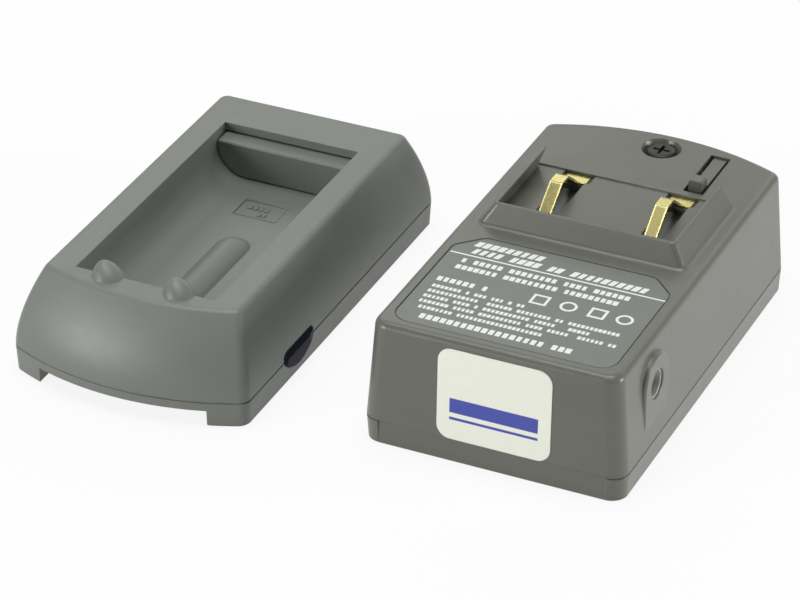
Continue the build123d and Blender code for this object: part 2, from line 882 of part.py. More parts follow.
with BuildPart(base) as fuse:
    with Locations((0, fuse_y, board_top + fuse_radius + fuse_cap_proud)):
        Cylinder(fuse_radius, fuse_length, rotation=(0, 90, 0))
    for end in (-1, 1):
        cap_x = end * (fuse_length - fuse_cap_length) / 2
        with Locations((cap_x, fuse_y, board_top + fuse_radius + fuse_cap_proud)):
            Cylinder(fuse_radius + fuse_cap_proud, fuse_cap_length, rotation=(0, 90, 0))
fuse.part.label = "fuse"
export_step(fuse.part, "parts/fuse.step")

# Socket for the car lead, with its centre pin
with BuildPart(base) as dc_jack:
    with Locations((jack_body_end, jack_y, board_top)):
        Box(
            jack_body_length,
            jack_body_width,
            jack_body_height,
            align=(Align.MAX, Align.CENTER, Align.MIN),
        )
    with BuildSketch(across(base, jack_body_end - jack_bore_depth)) as bore:
        with Locations((jack_y, jack_z)):
            Circle(jack_bore_radius)
    extrude(amount=jack_bore_depth, mode=Mode.SUBTRACT)
dc_jack.part.label = "dc_jack"
export_step(dc_jack.part, "parts/dc_jack.step")

with BuildPart(base) as dc_jack_pin:
    with BuildSketch(across(base, jack_body_end - jack_bore_depth)) as pin:
        with Locations((jack_y, jack_z)):
            Circle(jack_pin_radius)
    extrude(amount=jack_pin_length)
    chamfer(dc_jack_pin.faces().sort_by(Axis.X)[-1].edges(), jack_pin_radius / 2)
dc_jack_pin.part.label = "dc_jack_pin"
export_step(dc_jack_pin.part, "parts/dc_jack_pin.step")

# Sprung contacts towards the plate, soldered under the board
for number, link_x in enumerate(link_xs, start=1):
    with BuildPart(base) as output_contact:
        with BuildSketch(across(base, link_x - link_width / 2)) as strip:
            with BuildLine() as bent:
                foot_z = board_height - link_thick / 2
                bow_z = link_clear + link_thick / 2
                FilletPolyline(
                    (link_y - link_foot, foot_z),
                    (link_y - link_shoulder, foot_z),
                    (link_y - link_bow, bow_z),
                    (link_y + link_bow, bow_z),
                    (link_y + link_shoulder, foot_z),
                    (link_y + link_foot, foot_z),
                    radius=link_bend,
                )
                offset(amount=link_thick / 2, side=Side.BOTH)
            make_face()
        extrude(amount=link_width)
    output_contact.part.label = f"output_contact_{number}"
    export_step(output_contact.part, f"parts/output_contact_{number}.step")

# Battery plate: bezel with the bay
with BuildPart(plate) as plate_bezel:
    for z, inset in ((plate_seam, seam_chamfer), (plate_seam + seam_chamfer, 0)):
        with BuildSketch(level(plate, z)) as ring:
            plate_outline(plate_lean(z), inset)
    loft(ruled=True)
    for z in plate_levels(plate_seam + seam_chamfer, plate_height):
        with BuildSketch(level(plate, z)) as ring:
            plate_outline(plate_lean(z))
    loft()
    fillet(plate_bezel.faces().sort_by(Axis.Z)[-1].edges(), plate_edge)

    # Hollow under the skin, and the walls of the bay inside it
    for z in plate_levels(plate_seam, plate_height - plate_roof):
        with BuildSketch(level(plate, z)) as ring:
            plate_outline(plate_lean(z), plate_wall, inner_corner_share)
    loft(mode=Mode.SUBTRACT)
    with Locations((0, bay_near - plate_wall, bay_underside)):
        Box(
            2 * (bay_half + plate_wall),
            bay_far - bay_near + plate_wall,
            plate_height - plate_roof - bay_underside,
            align=(Align.CENTER, Align.MIN, Align.MIN),
        )
    with Locations((0, bay_far, bay_underside)):
        Box(
            2 * (bay_half + ear_reach + 2 * slide_gap + plate_wall),
            pocket_far - bay_far + plate_wall,
            lip_bottom - bay_underside,
            align=(Align.CENTER, Align.MIN, Align.MIN),
        )
    with Locations(*[(0, y, plate_pad_height) for y in plate_screw_ys]):
        Cylinder(
            plate_boss_radius,
            bay_underside - plate_pad_height,
            align=(Align.CENTER, Align.CENTER, Align.MIN),
        )

    # Bay, and the pocket that its slider runs back into
    with BuildSketch(facing(plate, bay_near)) as bay:
        bay_section(bay_half, bay_floor, plate_height, bay_round)
    extrude(amount=bay_near - bay_far, mode=Mode.SUBTRACT)
    with BuildSketch(facing(plate, bay_far)) as pocket:
        bay_section(bay_half, bay_floor, lip_bottom, bay_round)
    extrude(amount=bay_far - pocket_far, mode=Mode.SUBTRACT)
    with Locations((0, bay_far + ear_gap_near, ear_low - slide_gap)):
        Box(
            2 * (bay_half + ear_reach + slide_gap),
            pocket_far - bay_far - ear_gap_near,
            ear_high - ear_low + 2 * slide_gap,
            align=(Align.CENTER, Align.MIN, Align.MIN),
            mode=Mode.SUBTRACT,
        )

    # Rib along the floor, with a round end
    rib_radius = (rib_half**2 + rib_height**2) / (2 * rib_height)
    with BuildSketch(facing(plate, bay_near)) as rib:
        with BuildLine() as rib_line:
            Line((rib_x - rib_half, bay_floor), (rib_x + rib_half, bay_floor))
            RadiusArc((rib_x + rib_half, bay_floor), (rib_x - rib_half, bay_floor), -rib_radius)
        make_face()
    extrude(amount=-rib_length)
    with BuildSketch(facing(plate, bay_near + rib_length)) as rib_end:
        with BuildLine() as end_line:
            RadiusArc((rib_x + rib_half, bay_floor), (rib_x, bay_floor + rib_height), -rib_radius)
            Polyline((rib_x, bay_floor + rib_height), (rib_x, bay_floor), (rib_x + rib_half, bay_floor))
        make_face()
    revolve(axis=Axis(plate.from_local_coords(Vector(rib_x, bay_near + rib_length, 0)), (0, 0, 1)))
    with Locations((0, plaque_y, bay_floor)):
        Box(
            *plaque_size,
            plaque_sink,
            align=(Align.CENTER, Align.CENTER, Align.MAX),
            mode=Mode.SUBTRACT,
        )

    # Nubs that hold the battery's end down: leaning cones that overhang the bay
    for nub_middle in (-nub_x, nub_x):
        with BuildSketch(level(plate, plate_height - nub_root)) as nub_foot:
            with Locations((nub_middle, bay_near - nub_set)):
                Ellipse(nub_half_width, nub_half_length)
        for rise, size in nub_rings:
            with BuildSketch(level(plate, plate_height + rise * nub_height)) as nub_ring:
                with Locations((nub_middle - rise * nub_lean, bay_near - (1 - rise) * nub_set)):
                    Ellipse(size * nub_half_width, size * nub_half_length)
        loft()
        with Locations((nub_middle, bay_near + nub_overhang, plate_height - nub_root)):
            Box(
                2 * nub_half_width,
                nub_half_length,
                nub_root + nub_height,
                align=(Align.CENTER, Align.MIN, Align.MIN),
                mode=Mode.SUBTRACT,
            )

    # Slots for the battery contacts, window for the lens, screw holes
    with Locations(*[(x, bay_near, tip_low - tip_slot_gap) for x in tip_xs]):
        Box(
            tip_width + 2 * tip_slot_gap,
            plate_wall,
            tip_high - tip_low + 2 * tip_slot_gap,
            align=(Align.CENTER, Align.MAX, Align.MIN),
            mode=Mode.SUBTRACT,
        )
    with BuildSketch(across(plate, lens_inner)) as window:
        lens_outline(fit_gap)
    extrude(amount=plate_width / 2 - lens_inner, mode=Mode.SUBTRACT)
    with Locations(*[(0, y, plate_pad_height) for y in plate_screw_ys]):
        Cylinder(
            plate_screw_radius + seat_gap,
            plate_screw_length - plate_pad_height + plate_screw_sink + fit_gap,
            align=(Align.CENTER, Align.CENTER, Align.MIN),
            mode=Mode.SUBTRACT,
        )
plate_bezel.part.label = "plate_bezel"
export_step(plate_bezel.part, "parts/plate_bezel.step")

# Battery plate: tray with its feet and the finger notch
with BuildPart(plate) as plate_tray:
    for z, inset in tray_rings(plate_seam):
        with BuildSketch(level(plate, z)) as ring:
            plate_outline(inset=inset)
    loft(ruled=True)
    with BuildSketch(level(plate, plate_floor)) as hollow:
        plate_outline(inset=plate_wall, corner_share=inner_corner_share)
    extrude(amount=plate_seam - plate_floor, mode=Mode.SUBTRACT)

    # Roof and walls of the notch, then the notch itself
    with BuildSketch(level(plate, plate_floor)) as notch_block:
        plate_outline(inset=plate_wall, corner_share=inner_corner_share)
        with Locations((0, 0)):
            Rectangle(
                2 * (notch_half + plate_wall),
                notch_depth + plate_wall,
                align=(Align.CENTER, Align.MIN),
                mode=Mode.INTERSECT,
            )
    extrude(amount=notch_height + notch_roof - plate_floor)
    with Locations((0, 0, 0)):
        Box(
            2 * notch_half,
            notch_depth,
            notch_height,
            align=(Align.CENTER, Align.MIN, Align.MIN),
            mode=Mode.SUBTRACT,
        )
    foot_edges = plate_tray.edges().filter_by(Axis.Y).filter_by_position(Axis.Z, -seat_gap, seat_gap)
    fillet(foot_edges.sort_by_distance(plate.origin)[:2], foot_round)

    # Posts for the board, pads for the screws, recesses for the contact pads
    plate_post_x = charge_board_half - post_inset
    plate_post_ys = (charge_board_near + notch_depth, charge_board_far - post_inset)
    with Locations(*[(x, y, plate_floor) for x in (-plate_post_x, plate_post_x) for y in plate_post_ys]):
        Cylinder(
            post_radius,
            charge_board_height - plate_floor,
            align=(Align.CENTER, Align.CENTER, Align.MIN),
        )
    with Locations(*[(0, y, 0) for y in plate_screw_ys]):
        Cylinder(plate_pad_radius, plate_pad_height, align=(Align.CENTER, Align.CENTER, Align.MIN))
        Cylinder(
            plate_screw_radius + fit_gap,
            plate_pad_height,
            align=(Align.CENTER, Align.CENTER, Align.MIN),
            mode=Mode.SUBTRACT,
        )
        Cylinder(
            plate_screw_head_radius + fit_gap,
            plate_screw_sink,
            align=(Align.CENTER, Align.CENTER, Align.MIN),
            mode=Mode.SUBTRACT,
        )
    with Locations(*[(x, link_y, 0) for x in link_xs]):
        Box(
            pad_size[0] + 2 * fit_gap,
            pad_size[1] + 2 * fit_gap,
            pad_recess,
            align=(Align.CENTER, Align.CENTER, Align.MIN),
            mode=Mode.SUBTRACT,
        )
        Cylinder(
            pad_pin_radius + seat_gap,
            plate_floor,
            align=(Align.CENTER, Align.CENTER, Align.MIN),
            mode=Mode.SUBTRACT,
        )
    with BuildSketch(across(plate, lens_inner)) as window:
        lens_outline(fit_gap)
    extrude(amount=plate_width / 2 - lens_inner, mode=Mode.SUBTRACT)
plate_tray.part.label = "plate_tray"
export_step(plate_tray.part, "parts/plate_tray.step")

# Sprung slider: the bay's own section, with ears that keep it in its pocket
with BuildPart(plate) as battery_slider:
    with BuildSketch(facing(plate, slider_front)) as face:
        bay_section(bay_half - slide_gap, bay_floor + slide_gap, slider_top, bay_round - slide_gap)
    extrude(amount=slider_front - slider_back)
    front_edges = battery_slider.faces().sort_by(Axis.Y)[0].edges()
    chamfer(front_edges.sort_by(Axis.Z)[-1], slider_edge)
    with Locations((0, slider_back, ear_low)):
        Box(
            2 * (bay_half + ear_reach),
            slider_ear_length,
            ear_high - ear_low,
            align=(Align.CENTER, Align.MAX, Align.MIN),
        )
    with Locations(*[(x, slider_back, (bay_floor + slider_top) / 2) for x in (-spring_x, spring_x)]):
        Cylinder(
            spring_radius + spring_wire / 2 + spring_bore_gap,
            2 * spring_bore_depth,
            rotation=(90, 0, 0),
            mode=Mode.SUBTRACT,
        )
battery_slider.part.label = "battery_slider"
export_step(battery_slider.part, "parts/battery_slider.step")

for side_name, coil_x in (("left", -spring_x), ("right", spring_x)):
    with BuildPart() as slider_spring:
        coil_seat = Vector(coil_x, pocket_far, (bay_floor + slider_top) / 2)
        coil(
            Plane(plate.from_local_coords(coil_seat), x_dir=(1, 0, 0), z_dir=(0, -1, 0)),
            spring_radius,
            pocket_far - slider_back + spring_bore_depth,
            slider_spring_turns,
        )
    slider_spring.part.label = f"slider_spring_{side_name}"
    export_step(slider_spring.part, f"parts/slider_spring_{side_name}.step")

# Charging board, with holes round the bosses
with BuildPart(plate) as charge_board:
    with Locations((0, charge_board_near, charge_board_height)):
        Box(
            2 * charge_board_half,
            charge_board_far - charge_board_near,
            charge_board_thick,
            align=(Align.CENTER, Align.MIN, Align.MIN),
        )
    with Locations(*[(0, y, charge_board_height) for y in plate_screw_ys]):
        Cylinder(
            plate_boss_radius + fit_gap,
            charge_board_thick,
            align=(Align.CENTER, Align.CENTER, Align.MIN),
            mode=Mode.SUBTRACT,
        )
charge_board.part.label = "charge_board"
export_step(charge_board.part, "parts/charge_board.step")

with BuildPart(plate) as charge_chip:
    with Locations((0, charge_chip_y, charge_top)):
        Box(*charge_chip_size, align=(Align.CENTER, Align.CENTER, Align.MIN))
    chamfer(charge_chip.faces().sort_by(Axis.Z)[-1].edges(), package_edge)
charge_chip.part.label = "charge_chip"
export_step(charge_chip.part, "parts/charge_chip.step")

# Leaf contacts in the bay's near wall: a foot on the board, a leg and a nose through the slot
for number, tip_x in enumerate(tip_xs, start=1):
    with BuildPart(plate) as battery_contact:
        leg_y = bay_near - plate_wall - tip_setback
        foot_z = charge_top + tip_thick / 2
        with BuildSketch(across(plate, tip_x - tip_width / 2)) as strip:
            with BuildLine() as bent:
                FilletPolyline(
                    (leg_y + tip_foot, foot_z),
                    (leg_y, foot_z),
                    (leg_y, tip_low),
                    (bay_near + tip_reach, (tip_low + tip_high) / 2),
                    (leg_y + tip_foot, tip_high - tip_thick / 2),
                    radius=tip_bend,
                )
                offset(amount=tip_thick / 2, side=Side.BOTH)
            make_face()
        extrude(amount=tip_width)
    battery_contact.part.label = f"battery_contact_{number}"
    export_step(battery_contact.part, f"parts/battery_contact_{number}.step")

# Lens: a half-moon across the seam, its face a roof that falls from a ridge to all sides
with BuildPart(plate) as indicator_lens:
    lens_rim = plate_width / 2 + lens_rim_proud
    lens_crest = plate_width / 2 + lens_proud
    with BuildSketch(across(plate, lens_inner)) as view:
        lens_outline()
    extrude(amount=lens_crest - lens_inner)
    with BuildSketch(facing(plate, lens_near)) as section:
        with BuildLine():
            Polyline(
                (lens_inner, lens_bottom),
                (lens_rim, lens_bottom),
                (lens_crest, lens_ridge),
                (lens_rim - tray_draft, lens_top),
                (lens_inner, lens_top),
                close=True,
            )
        make_face()
    extrude(amount=lens_near - lens_far, mode=Mode.INTERSECT)
    with BuildSketch(level(plate, lens_bottom)) as plan:
        with BuildLine():
            Polyline(
                (lens_inner, lens_near),
                (lens_rim, lens_near),
                (lens_crest, lens_near + lens_near_slope),
                (lens_crest, lens_far - lens_far_slope),
                (lens_rim, lens_far),
                (lens_inner, lens_far),
                close=True,
            )
        make_face()
    extrude(amount=lens_top - lens_bottom, mode=Mode.INTERSECT)
indicator_lens.part.label = "indicator_lens"
export_step(indicator_lens.part, "parts/indicator_lens.step")

with BuildPart(plate) as indicator_led:
    with Locations((charge_board_half, (lens_near + lens_far) / 2, charge_top)):
        Box(*led_size, align=(Align.MAX, Align.CENTER, Align.MIN))
indicator_led.part.label = "indicator_led"
export_step(indicator_led.part, "parts/indicator_led.step")

# Pads under the plate, each with a pin up to the board
for number, link_x in enumerate(link_xs, start=1):
    with BuildPart(plate) as input_pad:
        with Locations((link_x, link_y, pad_recess)):
            Box(*pad_size, align=(Align.CENTER, Align.CENTER, Align.MAX))
            Cylinder(
                pad_pin_radius,
                charge_board_height - pad_recess,
                align=(Align.CENTER, Align.CENTER, Align.MIN),
            )
    input_pad.part.label = f"input_pad_{number}"
    export_step(input_pad.part, f"parts/input_pad_{number}.step")

# Screws that close the plate from below
for end_name, screw_place in zip(("near", "far"), plate_screw_ys):
    screw_seat_plane = Plane(
        plate.from_local_coords(Vector(0, screw_place, plate_screw_sink)),
        x_dir=(1, 0, 0),
        z_dir=(0, 0, -1),
    )
    with BuildPart(screw_seat_plane) as plate_screw:
        cross_head_screw(
            plate_screw_head_radius,
            plate_screw_head_height,
            plate_screw_radius,
            plate_screw_length,
        )
    plate_screw.part.label = f"plate_screw_{end_name}"
    export_step(plate_screw.part, f"parts/plate_screw_{end_name}.step")
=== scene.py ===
"""Studio scene of a camera battery charger that lies in its two halves: battery plate and mains base."""

import json
import logging
import math
from abc import ABC, abstractmethod
from dataclasses import dataclass
from enum import Enum

import bmesh
import bpy
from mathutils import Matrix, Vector


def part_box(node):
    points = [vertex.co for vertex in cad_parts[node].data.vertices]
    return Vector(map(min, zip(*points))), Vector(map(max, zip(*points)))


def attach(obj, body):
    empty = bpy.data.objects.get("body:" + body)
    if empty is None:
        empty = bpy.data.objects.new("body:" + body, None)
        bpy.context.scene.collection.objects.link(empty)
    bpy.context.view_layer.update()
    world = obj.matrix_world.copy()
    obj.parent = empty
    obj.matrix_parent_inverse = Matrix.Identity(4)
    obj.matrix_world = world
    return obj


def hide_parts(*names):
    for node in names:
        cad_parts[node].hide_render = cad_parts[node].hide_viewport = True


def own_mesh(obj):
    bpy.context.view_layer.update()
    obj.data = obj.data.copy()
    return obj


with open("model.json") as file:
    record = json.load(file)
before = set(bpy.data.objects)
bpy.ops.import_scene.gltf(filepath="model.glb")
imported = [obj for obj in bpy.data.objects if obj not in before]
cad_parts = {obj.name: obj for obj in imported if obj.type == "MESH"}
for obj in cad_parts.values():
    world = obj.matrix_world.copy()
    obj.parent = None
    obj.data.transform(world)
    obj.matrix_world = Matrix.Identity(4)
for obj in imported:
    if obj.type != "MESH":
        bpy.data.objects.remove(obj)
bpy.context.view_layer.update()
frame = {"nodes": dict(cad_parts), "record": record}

LOG = logging.getLogger("charger")
MM = 0.001
WHITE = (1.0, 1.0, 1.0, 1.0)

Color = tuple[float, float, float]
Point = tuple[float, float, float]
Socket = bpy.types.NodeSocket
Ring = list[bmesh.types.BMVert]


class Slot(Enum):
    """The record's material slots."""

    BASE = "base_housing"
    PLATE = "plate_housing"
    FILM = "label_film"
    PAPER = "paper_label"
    BRASS = "contact_brass"
    SPRING = "spring_steel"
    BLACK_SCREW = "black_screw"
    ZINC_SCREW = "zinc_screw"
    BOARD = "circuit_board"
    FERRITE = "ferrite"
    TAPE = "winding_tape"
    SLEEVE = "capacitor_sleeve"
    CHIP = "chip_black"
    CERAMIC = "fuse_ceramic"
    JACK = "jack_grey"
    JACK_PIN = "jack_pin_metal"
    LENS = "lens_dark"
    LED = "led_clear"


class Mark(Enum):
    """Plain marks of the label's print, by their number of sides."""

    FRAME = 4
    RING = 40


class Graph:
    """Short calls that build one node tree."""

    # Sockets of a Mix node that mixes colours
    MIX_FACTOR, MIX_FIRST, MIX_SECOND, MIX_RESULT = 0, 6, 7, 2

    def __init__(self, tree: bpy.types.NodeTree) -> None:
        """Keep the tree that the calls add to."""
        self.tree = tree

    def add(self, kind: str, **values: object) -> bpy.types.Node:
        """Add a node and set its values.

        Args:
            kind: The node's type.
            values: Properties in lower case, and inputs with a capital, underscores standing for spaces.

        Returns:
            The new node.
        """
        node = self.tree.nodes.new(kind)
        for name, value in values.items():
            if name[0].isupper():
                node.inputs[name.replace("_", " ")].default_value = value
            else:
                setattr(node, name, value)
        return node

    def link(self, source: Socket, target: Socket) -> None:
        """Join two sockets."""
        self.tree.links.new(source, target)

    def feed(self, target: Socket, value: Socket | float | tuple[float, ...]) -> None:
        """Link a value to a socket, or set it there where it is a constant.

        Args:
            target: The socket to feed.
            value: Another node's socket, or a constant.
        """
        if isinstance(value, Socket):
            self.link(value, target)
        else:
            target.default_value = value

    def math(self, operation: str, first: Socket | float, second: Socket | float) -> Socket:
        """Add a math node.

        Args:
            operation: The node's operation.
            first: First operand.
            second: Second operand.

        Returns:
            The result's socket.
        """
        node = self.add("ShaderNodeMath", operation=operation)
        self.feed(node.inputs[0], first)
        self.feed(node.inputs[1], second)
        return node.outputs[0]

    def spread(self, value: Socket, low: float, high: float, start: float = 0.0, end: float = 1.0) -> Socket:
        """Map a stretch of a value to another stretch, clamped.

        Args:
            value: The value to map.
            low: Where the stretch begins.
            high: Where it ends.
            start: Result at low.
            end: Result at high.

        Returns:
            The mapped value's socket.
        """
        node = self.add("ShaderNodeMapRange", From_Min=low, From_Max=high, To_Min=start, To_Max=end)
        self.link(value, node.inputs["Value"])
        return node.outputs["Result"]

    def blend(self, factor: Socket, first: Color | Socket, second: Color | Socket) -> Socket:
        """Mix two colours.

        Args:
            factor: Share of the second colour.
            first: Colour at 0.
            second: Colour at 1.

        Returns:
            The mixed colour's socket.
        """
        node = self.add("ShaderNodeMix", data_type="RGBA")
        self.link(factor, node.inputs[self.MIX_FACTOR])
        for place, value in ((self.MIX_FIRST, first), (self.MIX_SECOND, second)):
            self.feed(node.inputs[place], value if isinstance(value, Socket) else (*value, 1.0))
        return node.outputs[self.MIX_RESULT]


class Surface(Graph):
    """A material under construction: its shader, its coordinates and the textures on them."""

    # Band in which most of a noise's values lie
    NOISE_BAND = (0.3, 0.7)
    # Cosine between the true and the rounded normal where an edge begins, and where it is whole
    EDGE_BAND = (0.99, 0.80)
    # Y part of the normal where a ramp begins, and where it is whole
    RAMP_BAND = (-0.15, -0.5)

    def __init__(self, name: str) -> None:
        """Start a material with an empty principled shader.

        Args:
            name: Name of the material.
        """
        self.material = bpy.data.materials.new(name)
        self.material.use_nodes = True
        super().__init__(self.material.node_tree)
        self.shader = self.tree.nodes["Principled BSDF"]
        self.place = self.add("ShaderNodeTexCoord").outputs["Object"]

    def set(self, **values: float) -> None:
        """Set constant inputs of the shader, underscores standing for spaces."""
        for name, value in values.items():
            self.shader.inputs[name.replace("_", " ")].default_value = value

    def drive(self, name: str, source: Socket) -> None:
        """Link a value to an input of the shader."""
        self.link(source, self.shader.inputs[name])

    def noise(self, size: float, detail: float = 2.0, stretch: Point = (1.0, 1.0, 1.0)) -> Socket:
        """Cloudy noise on the object's coordinates.

        Args:
            size: Size of a cloud in metres.
            detail: How many finer layers it has.
            stretch: How much longer a cloud is along each axis.

        Returns:
            The noise's value.
        """
        mapping = self.add("ShaderNodeMapping", Scale=tuple(1.0 / (size * part) for part in stretch))
        self.link(self.place, mapping.inputs["Vector"])
        texture = self.add("ShaderNodeTexNoise", Scale=1.0, Detail=detail)
        self.link(mapping.outputs["Vector"], texture.inputs["Vector"])
        return texture.outputs["Fac"]

    def evened(self, noise: Socket, start: float = 0.0, end: float = 1.0) -> Socket:
        """Noise whose usual band fills a whole stretch."""
        return self.spread(noise, *self.NOISE_BAND, start, end)

    def cells(self, size: float) -> Socket:
        """Distance to the nearest of scattered points, as pits of a spark-eroded mould have it.

        Args:
            size: Mean distance of the points in metres.

        Returns:
            The distance's value.
        """
        texture = self.add("ShaderNodeTexVoronoi", Scale=1.0 / size)
        self.link(self.place, texture.inputs["Vector"])
        return texture.outputs["Distance"]

    def mottled(self, mask: Socket, color: Color, dark: float, light: float) -> Socket:
        """A colour between a darker and a lighter shade, as a mask says."""
        return self.blend(mask, shade(color, dark), shade(color, light))

    def rounded(self, radius: float, samples: int = 6) -> Socket:
        """Normal with edges rounded off, by a radius in metres."""
        return self.add("ShaderNodeBevel", samples=samples, Radius=radius).outputs["Normal"]

    def edges(self, rounded: Socket) -> Socket:
        """Mask of the edges that a rounded normal bends.

        Args:
            rounded: A normal from rounded().

        Returns:
            The mask: 0 on flat ground, 1 on sharp edges.
        """
        normal = self.add("ShaderNodeNewGeometry").outputs["Normal"]
        node = self.add("ShaderNodeVectorMath", operation="DOT_PRODUCT")
        self.link(normal, node.inputs[0])
        self.link(rounded, node.inputs[1])
        return self.spread(node.outputs["Value"], *self.EDGE_BAND)

    def ramps(self) -> Socket:
        """Mask of the faces that slope down towards the near end, where a dark reflection is painted.

        Returns:
            The mask: 0 on level faces and those that slope away, 1 on ramps.
        """
        axes = self.add("ShaderNodeSeparateXYZ")
        self.link(self.add("ShaderNodeNewGeometry").outputs["Normal"], axes.inputs[0])
        return self.spread(axes.outputs["Y"], *self.RAMP_BAND)

    def bump(self, height: Socket, depth: float, normal: Socket | None = None) -> Socket:
        """Bumped normal.

        Args:
            height: Height from 0 to 1.
            depth: Depth of the relief in metres.
            normal: Normal under the relief.

        Returns:
            The normal's socket.
        """
        node = self.add("ShaderNodeBump", Strength=1.0, Distance=depth)
        self.link(height, node.inputs["Height"])
        if normal is not None:
            self.link(normal, node.inputs["Normal"])
        return node.outputs["Normal"]


def shade(color: Color, factor: float) -> Color:
    """A linear colour made lighter or darker by a factor."""
    return tuple(min(1.0, channel * factor) for channel in color)


@dataclass(frozen=True)
class Finish(ABC):
    """A finish of one main colour. Sizes in the finishes are in metres."""

    name: str
    color: Color

    @abstractmethod
    def build(self) -> bpy.types.Material:
        """Make the material."""


@dataclass(frozen=True)
class MouldedPlastic(Finish):
    """Injection-moulded plastic with a fine spark-eroded texture and edges painted lighter as a highlight.
    """

    roughness: float
    grain: float = 0.32 * MM
    coarser: float = 2.2
    depth: float = 0.012 * MM
    edge: float = 0.22 * MM
    cloud: float = 14 * MM
    mottle: float = 0.03
    patch: float = 3 * MM
    patchiness: float = 0.02
    # Share and lightness of the painted edge highlight
    highlight_share: float = 0.35
    highlight_lift: float = 1.35

    def build(self) -> bpy.types.Material:
        """Make the material.

        Returns:
            The finished material.
        """
        surface = Surface(self.name)
        rounded = surface.rounded(self.edge)
        clouds = surface.evened(surface.noise(self.cloud, detail=3.0))
        body = surface.mottled(clouds, self.color, 1 - self.mottle, 1 + self.mottle)
        # Edges painted lighter: a painted highlight along them
        highlight_mask = surface.math("MULTIPLY", surface.edges(rounded), self.highlight_share)
        surface.drive("Base Color", surface.blend(highlight_mask, body, shade(self.color, self.highlight_lift)))
        coarse = surface.noise(self.grain * self.coarser, detail=4.0)
        pits = surface.math("ADD", surface.cells(self.grain), coarse)
        surface.drive("Normal", surface.bump(pits, self.depth, rounded))
        patches = surface.noise(self.patch, detail=4.0)
        low, high = self.roughness - self.patchiness, self.roughness + self.patchiness
        surface.drive("Roughness", surface.evened(patches, low, high))
        return surface.material


@dataclass(frozen=True)
class PrintedFilm(Finish):
    """Satin plastic film of a label, its edge painted pale as a highlight."""

    edge: float = 0.1 * MM
    film_highlight: float = 1.6
    cloud: float = 9 * MM
    mottle: float = 0.04
    ripple: float = 0.8 * MM
    depth: float = 0.004 * MM
    patch: float = 2 * MM
    roughness: tuple[float, float] = (0.34, 0.42)

    def build(self) -> bpy.types.Material:
        """Make the material.

        Returns:
            The finished material.
        """
        surface = Surface(self.name)
        rounded = surface.rounded(self.edge)
        body = surface.mottled(surface.noise(self.cloud), self.color, 1 - self.mottle, 1 + self.mottle)
        # Edge painted lighter: a painted highlight along the film's edge
        surface.drive("Base Color", surface.blend(surface.edges(rounded), body, shade(self.color, self.film_highlight)))
        surface.drive("Normal", surface.bump(surface.noise(self.ripple), self.depth, rounded))
        surface.drive("Roughness", surface.evened(surface.noise(self.patch, detail=4.0), *self.roughness))
        return surface.material


@dataclass(frozen=True)
class WhiteInk(Finish):
    """Screen-printed ink, a little thin in places."""

    grain: float = 0.25 * MM
    thin: float = 0.93
    depth: float = 0.004 * MM
    roughness: float = 0.5

    def build(self) -> bpy.types.Material:
        """Make the material.

        Returns:
            The finished material.
        """
        surface = Surface(self.name)
        grains = surface.noise(self.grain, detail=3.0)
        surface.drive("Base Color", surface.mottled(grains, self.color, self.thin, 1.0))
        surface.drive("Normal", surface.bump(grains, self.depth))
        surface.set(Roughness=self.roughness)
        return surface.material


@dataclass(frozen=True)
class StripedPaper(Finish):
    """Matte paper of the end label with two plain stripes, which are shares of its height."""

    stripe: Color
    node: str
    inset: float = 2.6 * MM
    bars: tuple[tuple[float, float], ...] = ((0.30, 0.46), (0.22, 0.25))
    soft: float = 0.05 * MM
    fibre: float = 0.6 * MM
    fibre_stretch: Point = (2.5, 1.0, 1.0)
    shades: tuple[float, float] = (0.96, 1.02)
    depth: float = 0.01 * MM
    bare_roughness: float = 0.62
    inked_roughness: float = 0.45

    def build(self) -> bpy.types.Material:
        """Make the material.

        Returns:
            The finished material.
        """
        surface = Surface(self.name)
        low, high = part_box(self.node)
        height = high.z - low.z
        axes = surface.add("ShaderNodeSeparateXYZ")
        surface.link(surface.place, axes.inputs[0])
        inside = self.band(surface, axes.outputs["X"], low.x + self.inset, high.x - self.inset)
        rows: Socket | float = 0.0
        for start, end in self.bars:
            row = self.band(surface, axes.outputs["Z"], low.z + start * height, low.z + end * height)
            rows = surface.math("ADD", row, rows)
        inked = surface.math("MULTIPLY", inside, rows)
        fibres = surface.noise(self.fibre, detail=5.0, stretch=self.fibre_stretch)
        paper = surface.mottled(fibres, self.color, *self.shades)
        surface.drive("Base Color", surface.blend(inked, paper, self.stripe))
        surface.drive("Normal", surface.bump(fibres, self.depth))
        roughness = surface.spread(inked, 0.0, 1.0, self.bare_roughness, self.inked_roughness)
        surface.drive("Roughness", roughness)
        return surface.material

    def band(self, surface: Surface, value: Socket, low: float, high: float) -> Socket:
        """Mask of a stretch with soft ends.

        Args:
            surface: The material under construction.
            value: Coordinate that is tested.
            low: Where the stretch begins.
            high: Where it ends.

        Returns:
            The mask.
        """
        rise = surface.spread(value, low - self.soft, low + self.soft)
        fall = surface.spread(value, high - self.soft, high + self.soft, 1.0, 0.0)
        return surface.math("MULTIPLY", rise, fall)


